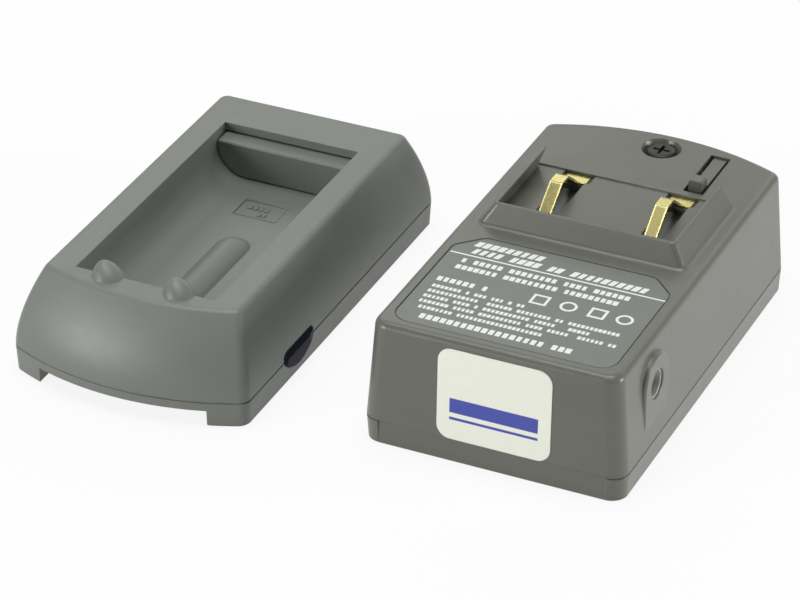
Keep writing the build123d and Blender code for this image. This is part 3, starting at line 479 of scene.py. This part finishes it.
@dataclass(frozen=True)
class RolledMetal(Finish):
    """Sheet or wire with drawing marks and dull specks, its edges painted bright as a highlight and its
    ramps painted darker as a dark reflection where asked.
    """

    roughness: float = 0.28
    speck_roughness: float = 0.18
    speck: float = 0.9 * MM
    speck_band: tuple[float, float] = (0.5, 0.7)
    speck_shade: float = 0.45
    specks: float = 0.5
    mark: float = 0.4 * MM
    mark_stretch: Point = (1.0, 1.0, 1.0)
    mark_shades: tuple[float, float] = (0.92, 1.06)
    depth: float = 0.0006 * MM
    edge: float = 0.12 * MM
    edge_samples: int = 16
    bend: float = 0.08 * MM
    # Lightness of the painted edge highlight
    edge_highlight: float = 1.25
    # Shade of the painted dark reflection on the ramps, 1 for none
    ramp_shade: float = 1.0

    def build(self) -> bpy.types.Material:
        """Make the material.

        Returns:
            The finished material.
        """
        surface = Surface(self.name)
        rounded = surface.rounded(self.edge, self.edge_samples)
        marks = surface.noise(self.mark, stretch=self.mark_stretch)
        spots = surface.spread(surface.noise(self.speck, detail=3.0), *self.speck_band)
        body = surface.mottled(marks, self.color, *self.mark_shades)
        # Faces sloping down to the near end painted darker: a painted dark reflection
        if self.ramp_shade < 1.0:
            body = surface.blend(surface.ramps(), body, shade(self.color, self.ramp_shade))
        dull = surface.math("MULTIPLY", spots, self.specks)
        body = surface.blend(dull, body, shade(self.color, self.speck_shade))
        # Edges painted brighter: a painted highlight where they would catch the lights
        body = surface.blend(surface.edges(rounded), body, shade(self.color, self.edge_highlight))
        surface.drive("Base Color", body)
        surface.drive("Normal", surface.bump(marks, self.depth, surface.rounded(self.bend)))
        dullest = self.roughness + self.speck_roughness
        surface.drive("Roughness", surface.spread(spots, 0.0, 1.0, self.roughness, dullest))
        surface.set(Metallic=1.0)
        return surface.material


@dataclass(frozen=True)
class SmoothPlastic(Finish):
    """Glossy or satin plastic, resin, ceramic or coating, with edges painted light as a highlight where
    asked.
    """

    roughness: float
    shine: float = 0.5
    edge: float = 0.12 * MM
    # Lightness of the painted edge highlight, 1 for none
    edge_highlight: float = 1.0
    cloud: float = 1.5 * MM
    mottle: float = 0.1
    patchiness: float = 0.15
    ripple: float = 0.7 * MM
    depth: float = 0.002 * MM

    def build(self) -> bpy.types.Material:
        """Make the material.

        Returns:
            The finished material.
        """
        surface = Surface(self.name)
        rounded = surface.rounded(self.edge)
        clouds = surface.noise(self.cloud, detail=3.0)
        body = surface.mottled(clouds, self.color, 1 - self.mottle, 1 + self.mottle)
        # Edges painted lighter: a painted highlight
        if self.edge_highlight > 1.0:
            body = surface.blend(surface.edges(rounded), body, shade(self.color, self.edge_highlight))
        surface.drive("Base Color", body)
        surface.drive("Normal", surface.bump(surface.noise(self.ripple), self.depth, rounded))
        low, high = self.roughness * (1 - self.patchiness), self.roughness * (1 + self.patchiness)
        surface.drive("Roughness", surface.evened(clouds, low, high))
        surface.set(Specular_IOR_Level=self.shine)
        return surface.material


FINISHES: dict[Slot, Finish] = {
    Slot.BASE: MouldedPlastic("base_grey", (0.132, 0.136, 0.113), 0.3, depth=0.004 * MM, edge=0.34 * MM),
    Slot.PLATE: MouldedPlastic("plate_grey", (0.179, 0.193, 0.171), 0.42, grain=0.4 * MM),
    Slot.FILM: PrintedFilm("label_grey", (0.163, 0.179, 0.155)),
    Slot.PAPER: StripedPaper("label_paper", (0.93, 0.95, 0.83), (0.055, 0.075, 0.42), "side_sticker"),
    Slot.BRASS: RolledMetal(
        "brass_sheet",
        (0.70, 0.63, 0.27),
        roughness=0.25,
        specks=0.12,
        mark_stretch=(0.4, 6.0, 0.4),
        edge=0.8 * MM,
        # Ramps painted darker as a dark reflection
        ramp_shade=0.3,
    ),
    Slot.SPRING: RolledMetal("spring_wire", (0.56, 0.56, 0.57), specks=0.15),
    Slot.BLACK_SCREW: SmoothPlastic(
        "black_oxide", (0.034, 0.035, 0.030), 0.36, shine=0.25, edge=0.2 * MM, edge_highlight=4.0
    ),
    Slot.ZINC_SCREW: RolledMetal("zinc_plate", (0.58, 0.59, 0.62), specks=0.2),
    Slot.BOARD: SmoothPlastic("solder_resist", (0.020, 0.115, 0.042), 0.32),
    Slot.FERRITE: SmoothPlastic("sintered_ferrite", (0.035, 0.035, 0.040), 0.62),
    Slot.TAPE: SmoothPlastic("winding_tape", (0.62, 0.44, 0.06), 0.25),
    Slot.SLEEVE: SmoothPlastic("shrunk_sleeve", (0.02, 0.02, 0.035), 0.28),
    Slot.CHIP: SmoothPlastic("moulded_epoxy", (0.018, 0.018, 0.020), 0.55),
    Slot.CERAMIC: SmoothPlastic("fuse_ceramic", (0.74, 0.71, 0.65), 0.35),
    Slot.JACK: SmoothPlastic("socket_grey", (0.13, 0.13, 0.12), 0.38),
    Slot.JACK_PIN: RolledMetal("plated_pin", (0.78, 0.77, 0.74), roughness=0.2, specks=0.1),
    Slot.LENS: SmoothPlastic(
        "smoked_lens", (0.015, 0.017, 0.024), 0.2, shine=0.012, edge=0.4 * MM, edge_highlight=5.0
    ),
    Slot.LED: SmoothPlastic("clear_resin", (0.75, 0.75, 0.62), 0.12),
}
PRINT_INK = WhiteInk("white_ink", (0.86, 0.88, 0.84))
SLEEVE_PLATING = SmoothPlastic("satin_plating", (0.62, 0.62, 0.58), 0.3)


def linked(name: str, data: bpy.types.ID) -> bpy.types.Object:
    """Put a mesh, lamp or camera into the scene.

    Args:
        name: Name of the new object.
        data: What it shows.

    Returns:
        The object, at the origin.
    """
    obj = bpy.data.objects.new(name, data)
    bpy.context.scene.collection.objects.link(obj)
    return obj


class Wardrobe:
    """Builds each finish once and dresses the nodes and pieces with it."""

    def __init__(self) -> None:
        """Start with no material built."""
        self.built: dict[str, bpy.types.Material] = {}

    def material(self, finish: Finish) -> bpy.types.Material:
        """The material of a finish.

        Args:
            finish: The finish asked for.

        Returns:
            Its material, built at the first call.
        """
        if finish.name not in self.built:
            self.built[finish.name] = finish.build()
        return self.built[finish.name]

    def dress(self, obj: bpy.types.Object, finish: Finish) -> None:
        """Give an object one finish and no other."""
        obj.data.materials.clear()
        obj.data.materials.append(self.material(finish))

    def dress_nodes(self) -> None:
        """Give every node of the frame the finish of its slot."""
        for row in frame["record"]["subparts"]:
            self.dress(frame["nodes"][row["node"]], FINISHES[Slot(row["material_slot"])])
            LOG.info("node %s: %s", row["node"], row["material_slot"])

    def piece(
        self,
        name: str,
        whole: bmesh.types.BMesh,
        slot: Slot,
        finish: Finish | None = None,
        crease: float | None = None,
    ) -> bpy.types.Object:
        """Make a dressed piece that rides on the charger.

        Args:
            name: Name of the piece.
            whole: Its shape, already in place, which is used up.
            slot: The record's slot of the piece.
            finish: Its finish, where that isn't the slot's own.
            crease: Angle from which an edge stays sharp on a smooth piece.

        Returns:
            The finished piece.
        """
        mesh = bpy.data.meshes.new(name)
        whole.to_mesh(mesh)
        whole.free()
        if crease is not None:
            mesh.shade_smooth()
            mesh.set_sharp_from_angle(angle=crease)
        piece = linked(name, mesh)
        self.dress(piece, finish or FINISHES[slot])
        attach(piece, "charger")
        return piece


def turns(sides: int, start: float = 0.0) -> list[float]:
    """Angles of a regular polygon's corners, the first one a share of a side past zero."""
    return [2 * math.pi * (number + start) / sides for number in range(sides)]


def join_round(whole: bmesh.types.BMesh, rings: list[Ring]) -> None:
    """Join each ring of points to the next with faces, and the last to the first.

    Args:
        whole: Mesh under construction.
        rings: Rings with the same number of points.
    """
    for first, second in zip(rings, rings[1:] + rings[:1]):
        for corners in zip(first, first[1:] + first[:1], second[1:] + second[:1], second):
            whole.faces.new(corners)


@dataclass(frozen=True)
class PrintRow:
    """One row of blocks: its ends, middle line and height in millimetres, and its slant."""

    left: float
    right: float
    middle: float
    height: float
    slant: float = 0.0


class PrintRowTree(Graph):
    """Geometry tree of one row: plain blocks of random width in a line, with word gaps."""

    INPUTS = {
        "Length": "NodeSocketFloat",
        "Pitch": "NodeSocketFloat",
        "Height": "NodeSocketFloat",
        "Rise": "NodeSocketFloat",
        "Slant": "NodeSocketFloat",
        "Start": "NodeSocketVector",
        "Seed": "NodeSocketInt",
        "Material": "NodeSocketMaterial",
    }
    GAP_SHARE = 0.15
    NARROW = 0.58
    WIDE = 0.84
    # Sockets of a Random Value node: ends and result of a number, and result of a yes or no
    RANDOM_MIN, RANDOM_MAX, RANDOM_NUMBER, RANDOM_YES = 2, 3, 1, 3

    def __init__(self) -> None:
        """Build the tree."""
        super().__init__(bpy.data.node_groups.new("print_row", "GeometryNodeTree"))
        self.keys: dict[str, str] = {}
        for name, kind in self.INPUTS.items():
            item = self.tree.interface.new_socket(name=name, in_out="INPUT", socket_type=kind)
            self.keys[name] = item.identifier
        self.tree.interface.new_socket(name="Geometry", in_out="OUTPUT", socket_type="NodeSocketGeometry")
        self.given = self.add("NodeGroupInput").outputs
        inked = self.add("GeometryNodeSetMaterial")
        self.link(self.placed(self.blocks(self.words())), inked.inputs["Geometry"])
        self.link(self.given["Material"], inked.inputs["Material"])
        self.link(inked.outputs["Geometry"], self.add("NodeGroupOutput").inputs[0])

    def words(self) -> Socket:
        """Points of a line, some of them left out.

        Returns:
            The points that stay.
        """
        line = self.add("GeometryNodeMeshLine", mode="OFFSET")
        self.link(self.math("DIVIDE", self.given["Length"], self.given["Pitch"]), line.inputs["Count"])
        step = self.add("ShaderNodeCombineXYZ")
        self.link(self.given["Pitch"], step.inputs["X"])
        self.link(step.outputs[0], line.inputs["Offset"])
        gaps = self.add("FunctionNodeRandomValue", data_type="BOOLEAN", Probability=self.GAP_SHARE)
        self.link(self.given["Seed"], gaps.inputs["Seed"])
        words = self.add("GeometryNodeDeleteGeometry", domain="POINT")
        self.link(line.outputs["Mesh"], words.inputs["Geometry"])
        self.link(gaps.outputs[self.RANDOM_YES], words.inputs["Selection"])
        return words.outputs["Geometry"]

    def blocks(self, points: Socket) -> Socket:
        """A block of random width on each point.

        Args:
            points: Points of the row.

        Returns:
            The blocks as real geometry.
        """
        share = self.add("FunctionNodeRandomValue", data_type="FLOAT")
        share.inputs[self.RANDOM_MIN].default_value = self.NARROW
        share.inputs[self.RANDOM_MAX].default_value = self.WIDE
        self.link(self.given["Seed"], share.inputs["Seed"])
        size = self.add("ShaderNodeCombineXYZ")
        width = self.math("MULTIPLY", share.outputs[self.RANDOM_NUMBER], self.given["Pitch"])
        self.link(width, size.inputs["X"])
        self.link(self.given["Height"], size.inputs["Y"])
        self.link(self.given["Rise"], size.inputs["Z"])
        blocks = self.add("GeometryNodeInstanceOnPoints")
        self.link(points, blocks.inputs["Points"])
        self.link(self.add("GeometryNodeMeshCube").outputs["Mesh"], blocks.inputs["Instance"])
        self.link(size.outputs[0], blocks.inputs["Scale"])
        real = self.add("GeometryNodeRealizeInstances")
        self.link(blocks.outputs["Instances"], real.inputs["Geometry"])
        return real.outputs["Geometry"]

    def placed(self, blocks: Socket) -> Socket:
        """Blocks that lean by the slant and begin at the start.

        Args:
            blocks: Upright blocks about the origin's line.

        Returns:
            The blocks in their place.
        """
        axes = self.add("ShaderNodeSeparateXYZ")
        self.link(self.add("GeometryNodeInputPosition").outputs[0], axes.inputs[0])
        lean = self.add("ShaderNodeCombineXYZ")
        self.link(self.math("MULTIPLY", axes.outputs["Y"], self.given["Slant"]), lean.inputs["X"])
        shift = self.add("ShaderNodeVectorMath", operation="ADD")
        self.link(lean.outputs[0], shift.inputs[0])
        self.link(self.given["Start"], shift.inputs[1])
        moved = self.add("GeometryNodeSetPosition")
        self.link(blocks, moved.inputs["Geometry"])
        self.link(shift.outputs[0], moved.inputs["Offset"])
        return moved.outputs["Geometry"]

    def add_row(
        self,
        whole: bmesh.types.BMesh,
        ground: Vector,
        row: PrintRow,
        pitch: float,
        rise: float,
        seed: int,
        material: bpy.types.Material,
    ) -> None:
        """Add one row to a mesh.

        Args:
            whole: Mesh under construction.
            ground: Point of the ground that the row is measured from.
            row: The row's place and height.
            pitch: Distance of its blocks in millimetres.
            rise: How high they stand on the ground, in millimetres.
            seed: Seed of their widths and gaps.
            material: Their material.
        """
        values = {
            "Length": (row.right - row.left) * MM,
            "Pitch": pitch * MM,
            "Height": row.height * MM,
            "Rise": rise * MM,
            "Slant": row.slant,
            "Start": ground + Vector((row.left, row.middle, rise / 2)) * MM,
            "Seed": seed,
            "Material": material,
        }
        holder = linked("print_row", bpy.data.meshes.new("print_row"))
        modifier = holder.modifiers.new("row", "NODES")
        modifier.node_group = self.tree
        for name, value in values.items():
            modifier[self.keys[name]] = value
        bpy.context.view_layer.update()
        graph = bpy.context.evaluated_depsgraph_get()
        mesh = bpy.data.meshes.new_from_object(holder.evaluated_get(graph), depsgraph=graph)
        bpy.data.objects.remove(holder)
        whole.from_mesh(mesh)


@dataclass
class LabelPrint:
    """White print of the label: blocks in rows, a rule and plain marks, in mm from the base's near edge."""

    wardrobe: Wardrobe
    tree: PrintRowTree
    film: str = "label_panel"
    shell: str = "base_shell"
    ink: float = 0.02
    pitch_share: float = 0.84
    mark_middle: float = 21.3
    mark_radius: float = 1.75
    mark_stroke: float = 0.55
    marks: tuple[tuple[float, Mark], ...] = (
        (0.7, Mark.FRAME),
        (6.6, Mark.RING),
        (12.6, Mark.FRAME),
        (18.1, Mark.RING),
    )
    rows: tuple[PrintRow, ...] = (
        PrintRow(-18.0, -3.0, 35.4, 1.9, 0.3),
        PrintRow(-17.6, 20.0, 32.7, 1.9, 0.3),
        PrintRow(-18.4, 17.9, 28.7, 1.5),
        PrintRow(-18.5, 15.7, 26.1, 1.5),
        PrintRow(-19.9, -8.5, 20.6, 1.6),
        PrintRow(-19.9, 0.3, 17.8, 1.05),
        PrintRow(-19.9, 20.6, 15.8, 1.05),
        PrintRow(-19.9, 14.9, 13.8, 1.05),
        PrintRow(-19.9, 20.7, 11.8, 1.05),
        PrintRow(-19.1, 6.7, 9.7, 1.05),
        PrintRow(-17.3, 15.6, 6.7, 1.7),
    )
    rule: PrintRow = PrintRow(-22.2, 22.6, 30.8, 0.4)

    def build(self) -> bpy.types.Object:
        """Make the print and lay it on the film.

        Returns:
            The finished piece.
        """
        low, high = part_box(self.film)
        ground = Vector(((low.x + high.x) / 2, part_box(self.shell)[0].y, high.z))
        material = self.wardrobe.material(PRINT_INK)
        whole = bmesh.new()
        for seed, row in enumerate(self.rows):
            pitch = row.height * self.pitch_share
            self.tree.add_row(whole, ground, row, pitch, self.ink, seed, material)
        self.add_rule(whole, ground)
        for x, mark in self.marks:
            self.add_mark(whole, ground + Vector((x, self.mark_middle, 0.0)) * MM, mark)
        return self.wardrobe.piece("label_print", whole, Slot.PAPER, PRINT_INK)

    def add_rule(self, whole: bmesh.types.BMesh, ground: Vector) -> None:
        """Add the long rule under the first rows.

        Args:
            whole: Mesh of the print.
            ground: Point of the film above the base's near edge.
        """
        rule = self.rule
        size = Vector((rule.right - rule.left, rule.height, self.ink)) * MM
        middle = ground + Vector(((rule.left + rule.right) / 2, rule.middle, self.ink / 2)) * MM
        for vert in bmesh.ops.create_cube(whole, size=1.0)["verts"]:
            vert.co = middle + vert.co * size

    def add_mark(self, whole: bmesh.types.BMesh, foot: Vector, mark: Mark) -> None:
        """Add a plain frame or ring.

        Args:
            whole: Mesh of the print.
            foot: Its middle on the film.
            mark: Which of the two it is.
        """
        reach = math.sqrt(2.0) if mark is Mark.FRAME else 1.0
        outer, inner = self.mark_radius * reach, (self.mark_radius - self.mark_stroke) * reach
        rings = [
            [
                whole.verts.new(foot + Vector((radius * math.cos(turn), radius * math.sin(turn), z)) * MM)
                for turn in turns(mark.value, 0.5)
            ]
            for radius, z in ((outer, 0.0), (outer, self.ink), (inner, self.ink), (inner, 0.0))
        ]
        join_round(whole, rings)


@dataclass
class BayPlaque:
    """Sunk field in the bay's floor: its sloped border and the plain raised bars in it, in millimetres."""

    wardrobe: Wardrobe
    tree: PrintRowTree
    bezel: str = "plate_bezel"
    size: tuple[float, float] = (10.0, 6.9)
    middle: float = 63.8
    level: float = 11.6
    sink: float = 0.3
    slopes: tuple[float, float, float, float] = (0.1, 0.9, 0.5, 0.25)
    bar_rise: float = 0.16
    rows: tuple[PrintRow, ...] = (PrintRow(-2.9, 2.9, 0.9, 1.3), PrintRow(0.2, 2.6, -1.3, 1.1))
    first_seed: int = 21

    def build(self) -> list[bpy.types.Object]:
        """Make the border and the bars.

        Returns:
            The finished pieces.
        """
        low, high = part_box(self.bezel)
        ground = Vector(((low.x + high.x) / 2, low.y + self.middle * MM, (self.level - self.sink) * MM))
        border = bmesh.new()
        self.add_border(border, ground)
        bars = bmesh.new()
        material = self.wardrobe.material(FINISHES[Slot.PLATE])
        for seed, row in enumerate(self.rows, self.first_seed):
            self.tree.add_row(bars, ground, row, row.height, self.bar_rise, seed, material)
        return [
            self.wardrobe.piece("plaque_border", border, Slot.PLATE),
            self.wardrobe.piece("plaque_bars", bars, Slot.PLATE),
        ]

    def add_border(self, whole: bmesh.types.BMesh, ground: Vector) -> None:
        """Add the four slopes from the bay's floor to the field.

        Args:
            whole: Mesh of the border.
            ground: Middle of the field's ground.
        """
        right, far = self.size[0] / 2, self.size[1] / 2
        left, near = -right, -far
        from_left, from_near, from_right, from_far = self.slopes
        outer = ((left, near), (right, near), (right, far), (left, far))
        inner = (
            (left + from_left, near + from_near),
            (right - from_right, near + from_near),
            (right - from_right, far - from_far),
            (left + from_left, far - from_far),
        )
        rings = [
            [whole.verts.new(ground + Vector((x, y, z)) * MM) for x, y in corners]
            for corners, z in ((outer, 0.0), (outer, self.sink), (inner, 0.0))
        ]
        join_round(whole, rings)


@dataclass
class SocketSleeve:
    """Plated sleeve that lines the socket's mouth, in millimetres."""

    wardrobe: Wardrobe
    jack: str = "dc_jack"
    shell: str = "base_shell"
    axis: tuple[float, float] = (17.2, 17.1)
    radii: tuple[float, float] = (2.98, 2.74)
    below_face: float = 0.65
    lip: float = 0.12
    steps: int = 64
    crease: float = math.radians(30)

    def build(self) -> bpy.types.Object:
        """Turn the sleeve.

        Returns:
            The finished piece.
        """
        shell_low, shell_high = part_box(self.shell)
        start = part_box(self.jack)[1].x
        end = shell_high.x - self.below_face * MM
        outer, inner = (radius * MM for radius in self.radii)
        lip = self.lip * MM
        profile = (
            (start, outer),
            (end - lip, outer),
            (end, outer - lip),
            (end, inner + lip),
            (end - lip, inner),
            (start, inner),
        )
        middle = Vector((0.0, shell_low.y + self.axis[0] * MM, self.axis[1] * MM))
        whole = bmesh.new()
        rings = [
            [
                whole.verts.new(middle + Vector((x, radius * math.cos(turn), radius * math.sin(turn))))
                for turn in turns(self.steps)
            ]
            for x, radius in profile
        ]
        join_round(whole, rings)
        bmesh.ops.recalc_face_normals(whole, faces=whole.faces)
        return self.wardrobe.piece("socket_sleeve", whole, Slot.JACK_PIN, SLEEVE_PLATING, self.crease)


@dataclass(frozen=True)
class CoilSpring:
    """A spring that stands for its node."""

    name: str
    node: str
    joint: str
    axis: Point
    seat_is_high: bool
    keep: float
    weld: float = 0.001 * MM
    crease: float = math.radians(40)

    def build(self, wardrobe: Wardrobe) -> bpy.types.Object:
        """Copy the node's wire and hide the node.

        Args:
            wardrobe: Source of the finishes.

        Returns:
            The finished piece.
        """
        whole = bmesh.new()
        whole.from_mesh(frame["nodes"][self.node].data)
        bmesh.ops.remove_doubles(whole, verts=whole.verts, dist=self.weld)
        piece = wardrobe.piece(self.name, whole, Slot.SPRING, crease=self.crease)
        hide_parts(self.node)
        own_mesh(piece)
        return piece


SPRINGS = (
    CoilSpring("slider_coil_left", "slider_spring_left", "slider_push", (0.0, 1.0, 0.0), True, 0.62),
    CoilSpring("slider_coil_right", "slider_spring_right", "slider_push", (0.0, 1.0, 0.0), True, 0.62),
    CoilSpring("latch_coil", "latch_spring", "latch_press", (0.0, 0.0, 1.0), False, 0.6),
)


@dataclass(frozen=True)
class SoftBox:
    """A square lamp that faces the object: its place and side in metres, its power in watts."""

    name: str
    place: Point
    side: float
    power: float


@dataclass
class Studio:
    """Pale floor, soft lights and the camera, in metres."""

    look_at: Point = (-0.005175, 0.0088, 0.0)
    stand: Point = (0.282825, -0.6136, 0.4200)
    lens: float = 177.9
    sensor: float = 36.0
    floor_half: float = 3.0
    floor_paint: tuple[float, float, float, float] = (0.9, 0.9, 0.9, 1.0)
    floor_glow: float = 0.88
    room: float = 0.02
    mirrored_room: float = 0.25
    lamps: tuple[SoftBox, ...] = (
        SoftBox("top", (0.0, 0.0, 1.3), 0.9, 11.8),
        SoftBox("left_high", (-0.85, 0.0, 1.0), 0.6, 0.7),
        SoftBox("left_front_low", (-0.78, -1.02, 0.34), 0.55, 9.0),
        SoftBox("right_low", (1.25, 0.3, 0.2), 0.5, 11.0),
        SoftBox("back_left", (-0.7, 0.9, 0.8), 0.8, 2.9),
        SoftBox("back", (0.1, 1.2, 0.6), 0.8, 2.3),
    )

    def build(self) -> None:
        """Set the stage."""
        self.add_floor()
        self.add_world()
        for lamp in self.lamps:
            self.add_lamp(lamp)
        self.add_camera()
        bpy.context.scene.view_settings.view_transform = "Standard"

    def add_floor(self) -> None:
        """Lay a white floor that keeps the shadow."""
        half = self.floor_half
        corners = [(-half, -half, 0.0), (half, -half, 0.0), (half, half, 0.0), (-half, half, 0.0)]
        mesh = bpy.data.meshes.new("floor")
        mesh.from_pydata(corners, [], [(0, 1, 2, 3)])
        floor = linked("floor", mesh)
        material = bpy.data.materials.new("white_floor")
        material.use_nodes = True
        graph = Graph(material.node_tree)
        graph.tree.nodes.clear()
        matte = graph.add("ShaderNodeBsdfDiffuse", Color=self.floor_paint)
        glow = graph.add("ShaderNodeEmission", Color=WHITE, Strength=1.0)
        light = graph.add("ShaderNodeLightPath")
        seen = graph.math("MAXIMUM", light.outputs["Is Camera Ray"], light.outputs["Is Glossy Ray"])
        seen = graph.math("MAXIMUM", seen, light.outputs["Is Transmission Ray"])
        mix = graph.add("ShaderNodeMixShader")
        graph.link(graph.math("MULTIPLY", seen, self.floor_glow), mix.inputs[0])
        graph.link(matte.outputs[0], mix.inputs[1])
        graph.link(glow.outputs[0], mix.inputs[2])
        output = graph.add("ShaderNodeOutputMaterial")
        graph.link(mix.outputs[0], output.inputs["Surface"])
        mesh.materials.append(material)

    def add_world(self) -> None:
        """Fill the room with soft light, white to the camera."""
        world = bpy.data.worlds.new("room")
        bpy.context.scene.world = world
        world.use_nodes = True
        graph = Graph(world.node_tree)
        graph.tree.nodes.clear()
        light = graph.add("ShaderNodeLightPath")
        seen = graph.math("MAXIMUM", light.outputs["Is Camera Ray"], light.outputs["Is Transmission Ray"])
        dim = graph.spread(light.outputs["Is Glossy Ray"], 0.0, 1.0, self.room, self.mirrored_room)
        background = graph.add("ShaderNodeBackground", Color=WHITE)
        graph.link(graph.math("MAXIMUM", seen, dim), background.inputs["Strength"])
        output = graph.add("ShaderNodeOutputWorld")
        graph.link(background.outputs[0], output.inputs["Surface"])

    def aim(self, obj: bpy.types.Object, place: Point) -> None:
        """Put a lamp or the camera in its place and turn it to the object.

        Args:
            obj: The lamp or camera.
            place: Where it stands.
        """
        obj.location = place
        sight = Vector(self.look_at) - Vector(place)
        obj.rotation_euler = sight.to_track_quat("-Z", "Y").to_euler()

    def add_lamp(self, box: SoftBox) -> None:
        """Hang one lamp.

        Args:
            box: The lamp's place, side and power.
        """
        light = bpy.data.lights.new(box.name, "AREA")
        light.size = box.side
        light.energy = box.power
        self.aim(linked(box.name, light), box.place)

    def add_camera(self) -> None:
        """Place the camera at the photograph's viewpoint."""
        data = bpy.data.cameras.new("camera")
        data.lens = self.lens
        data.sensor_width = self.sensor
        camera = linked("camera", data)
        self.aim(camera, self.stand)
        bpy.context.scene.camera = camera


def main() -> None:
    """Dress the frame, add the pieces and set the stage."""
    logging.basicConfig(level=logging.INFO)
    wardrobe = Wardrobe()
    wardrobe.dress_nodes()
    tree = PrintRowTree()
    pieces = [
        LabelPrint(wardrobe, tree).build(),
        *BayPlaque(wardrobe, tree).build(),
        SocketSleeve(wardrobe).build(),
        *(spring.build(wardrobe) for spring in SPRINGS),
    ]
    for piece in pieces:
        LOG.info("piece %s: %d faces", piece.name, len(piece.data.polygons))
    Studio().build()


if __name__ == "__main__":
    main()
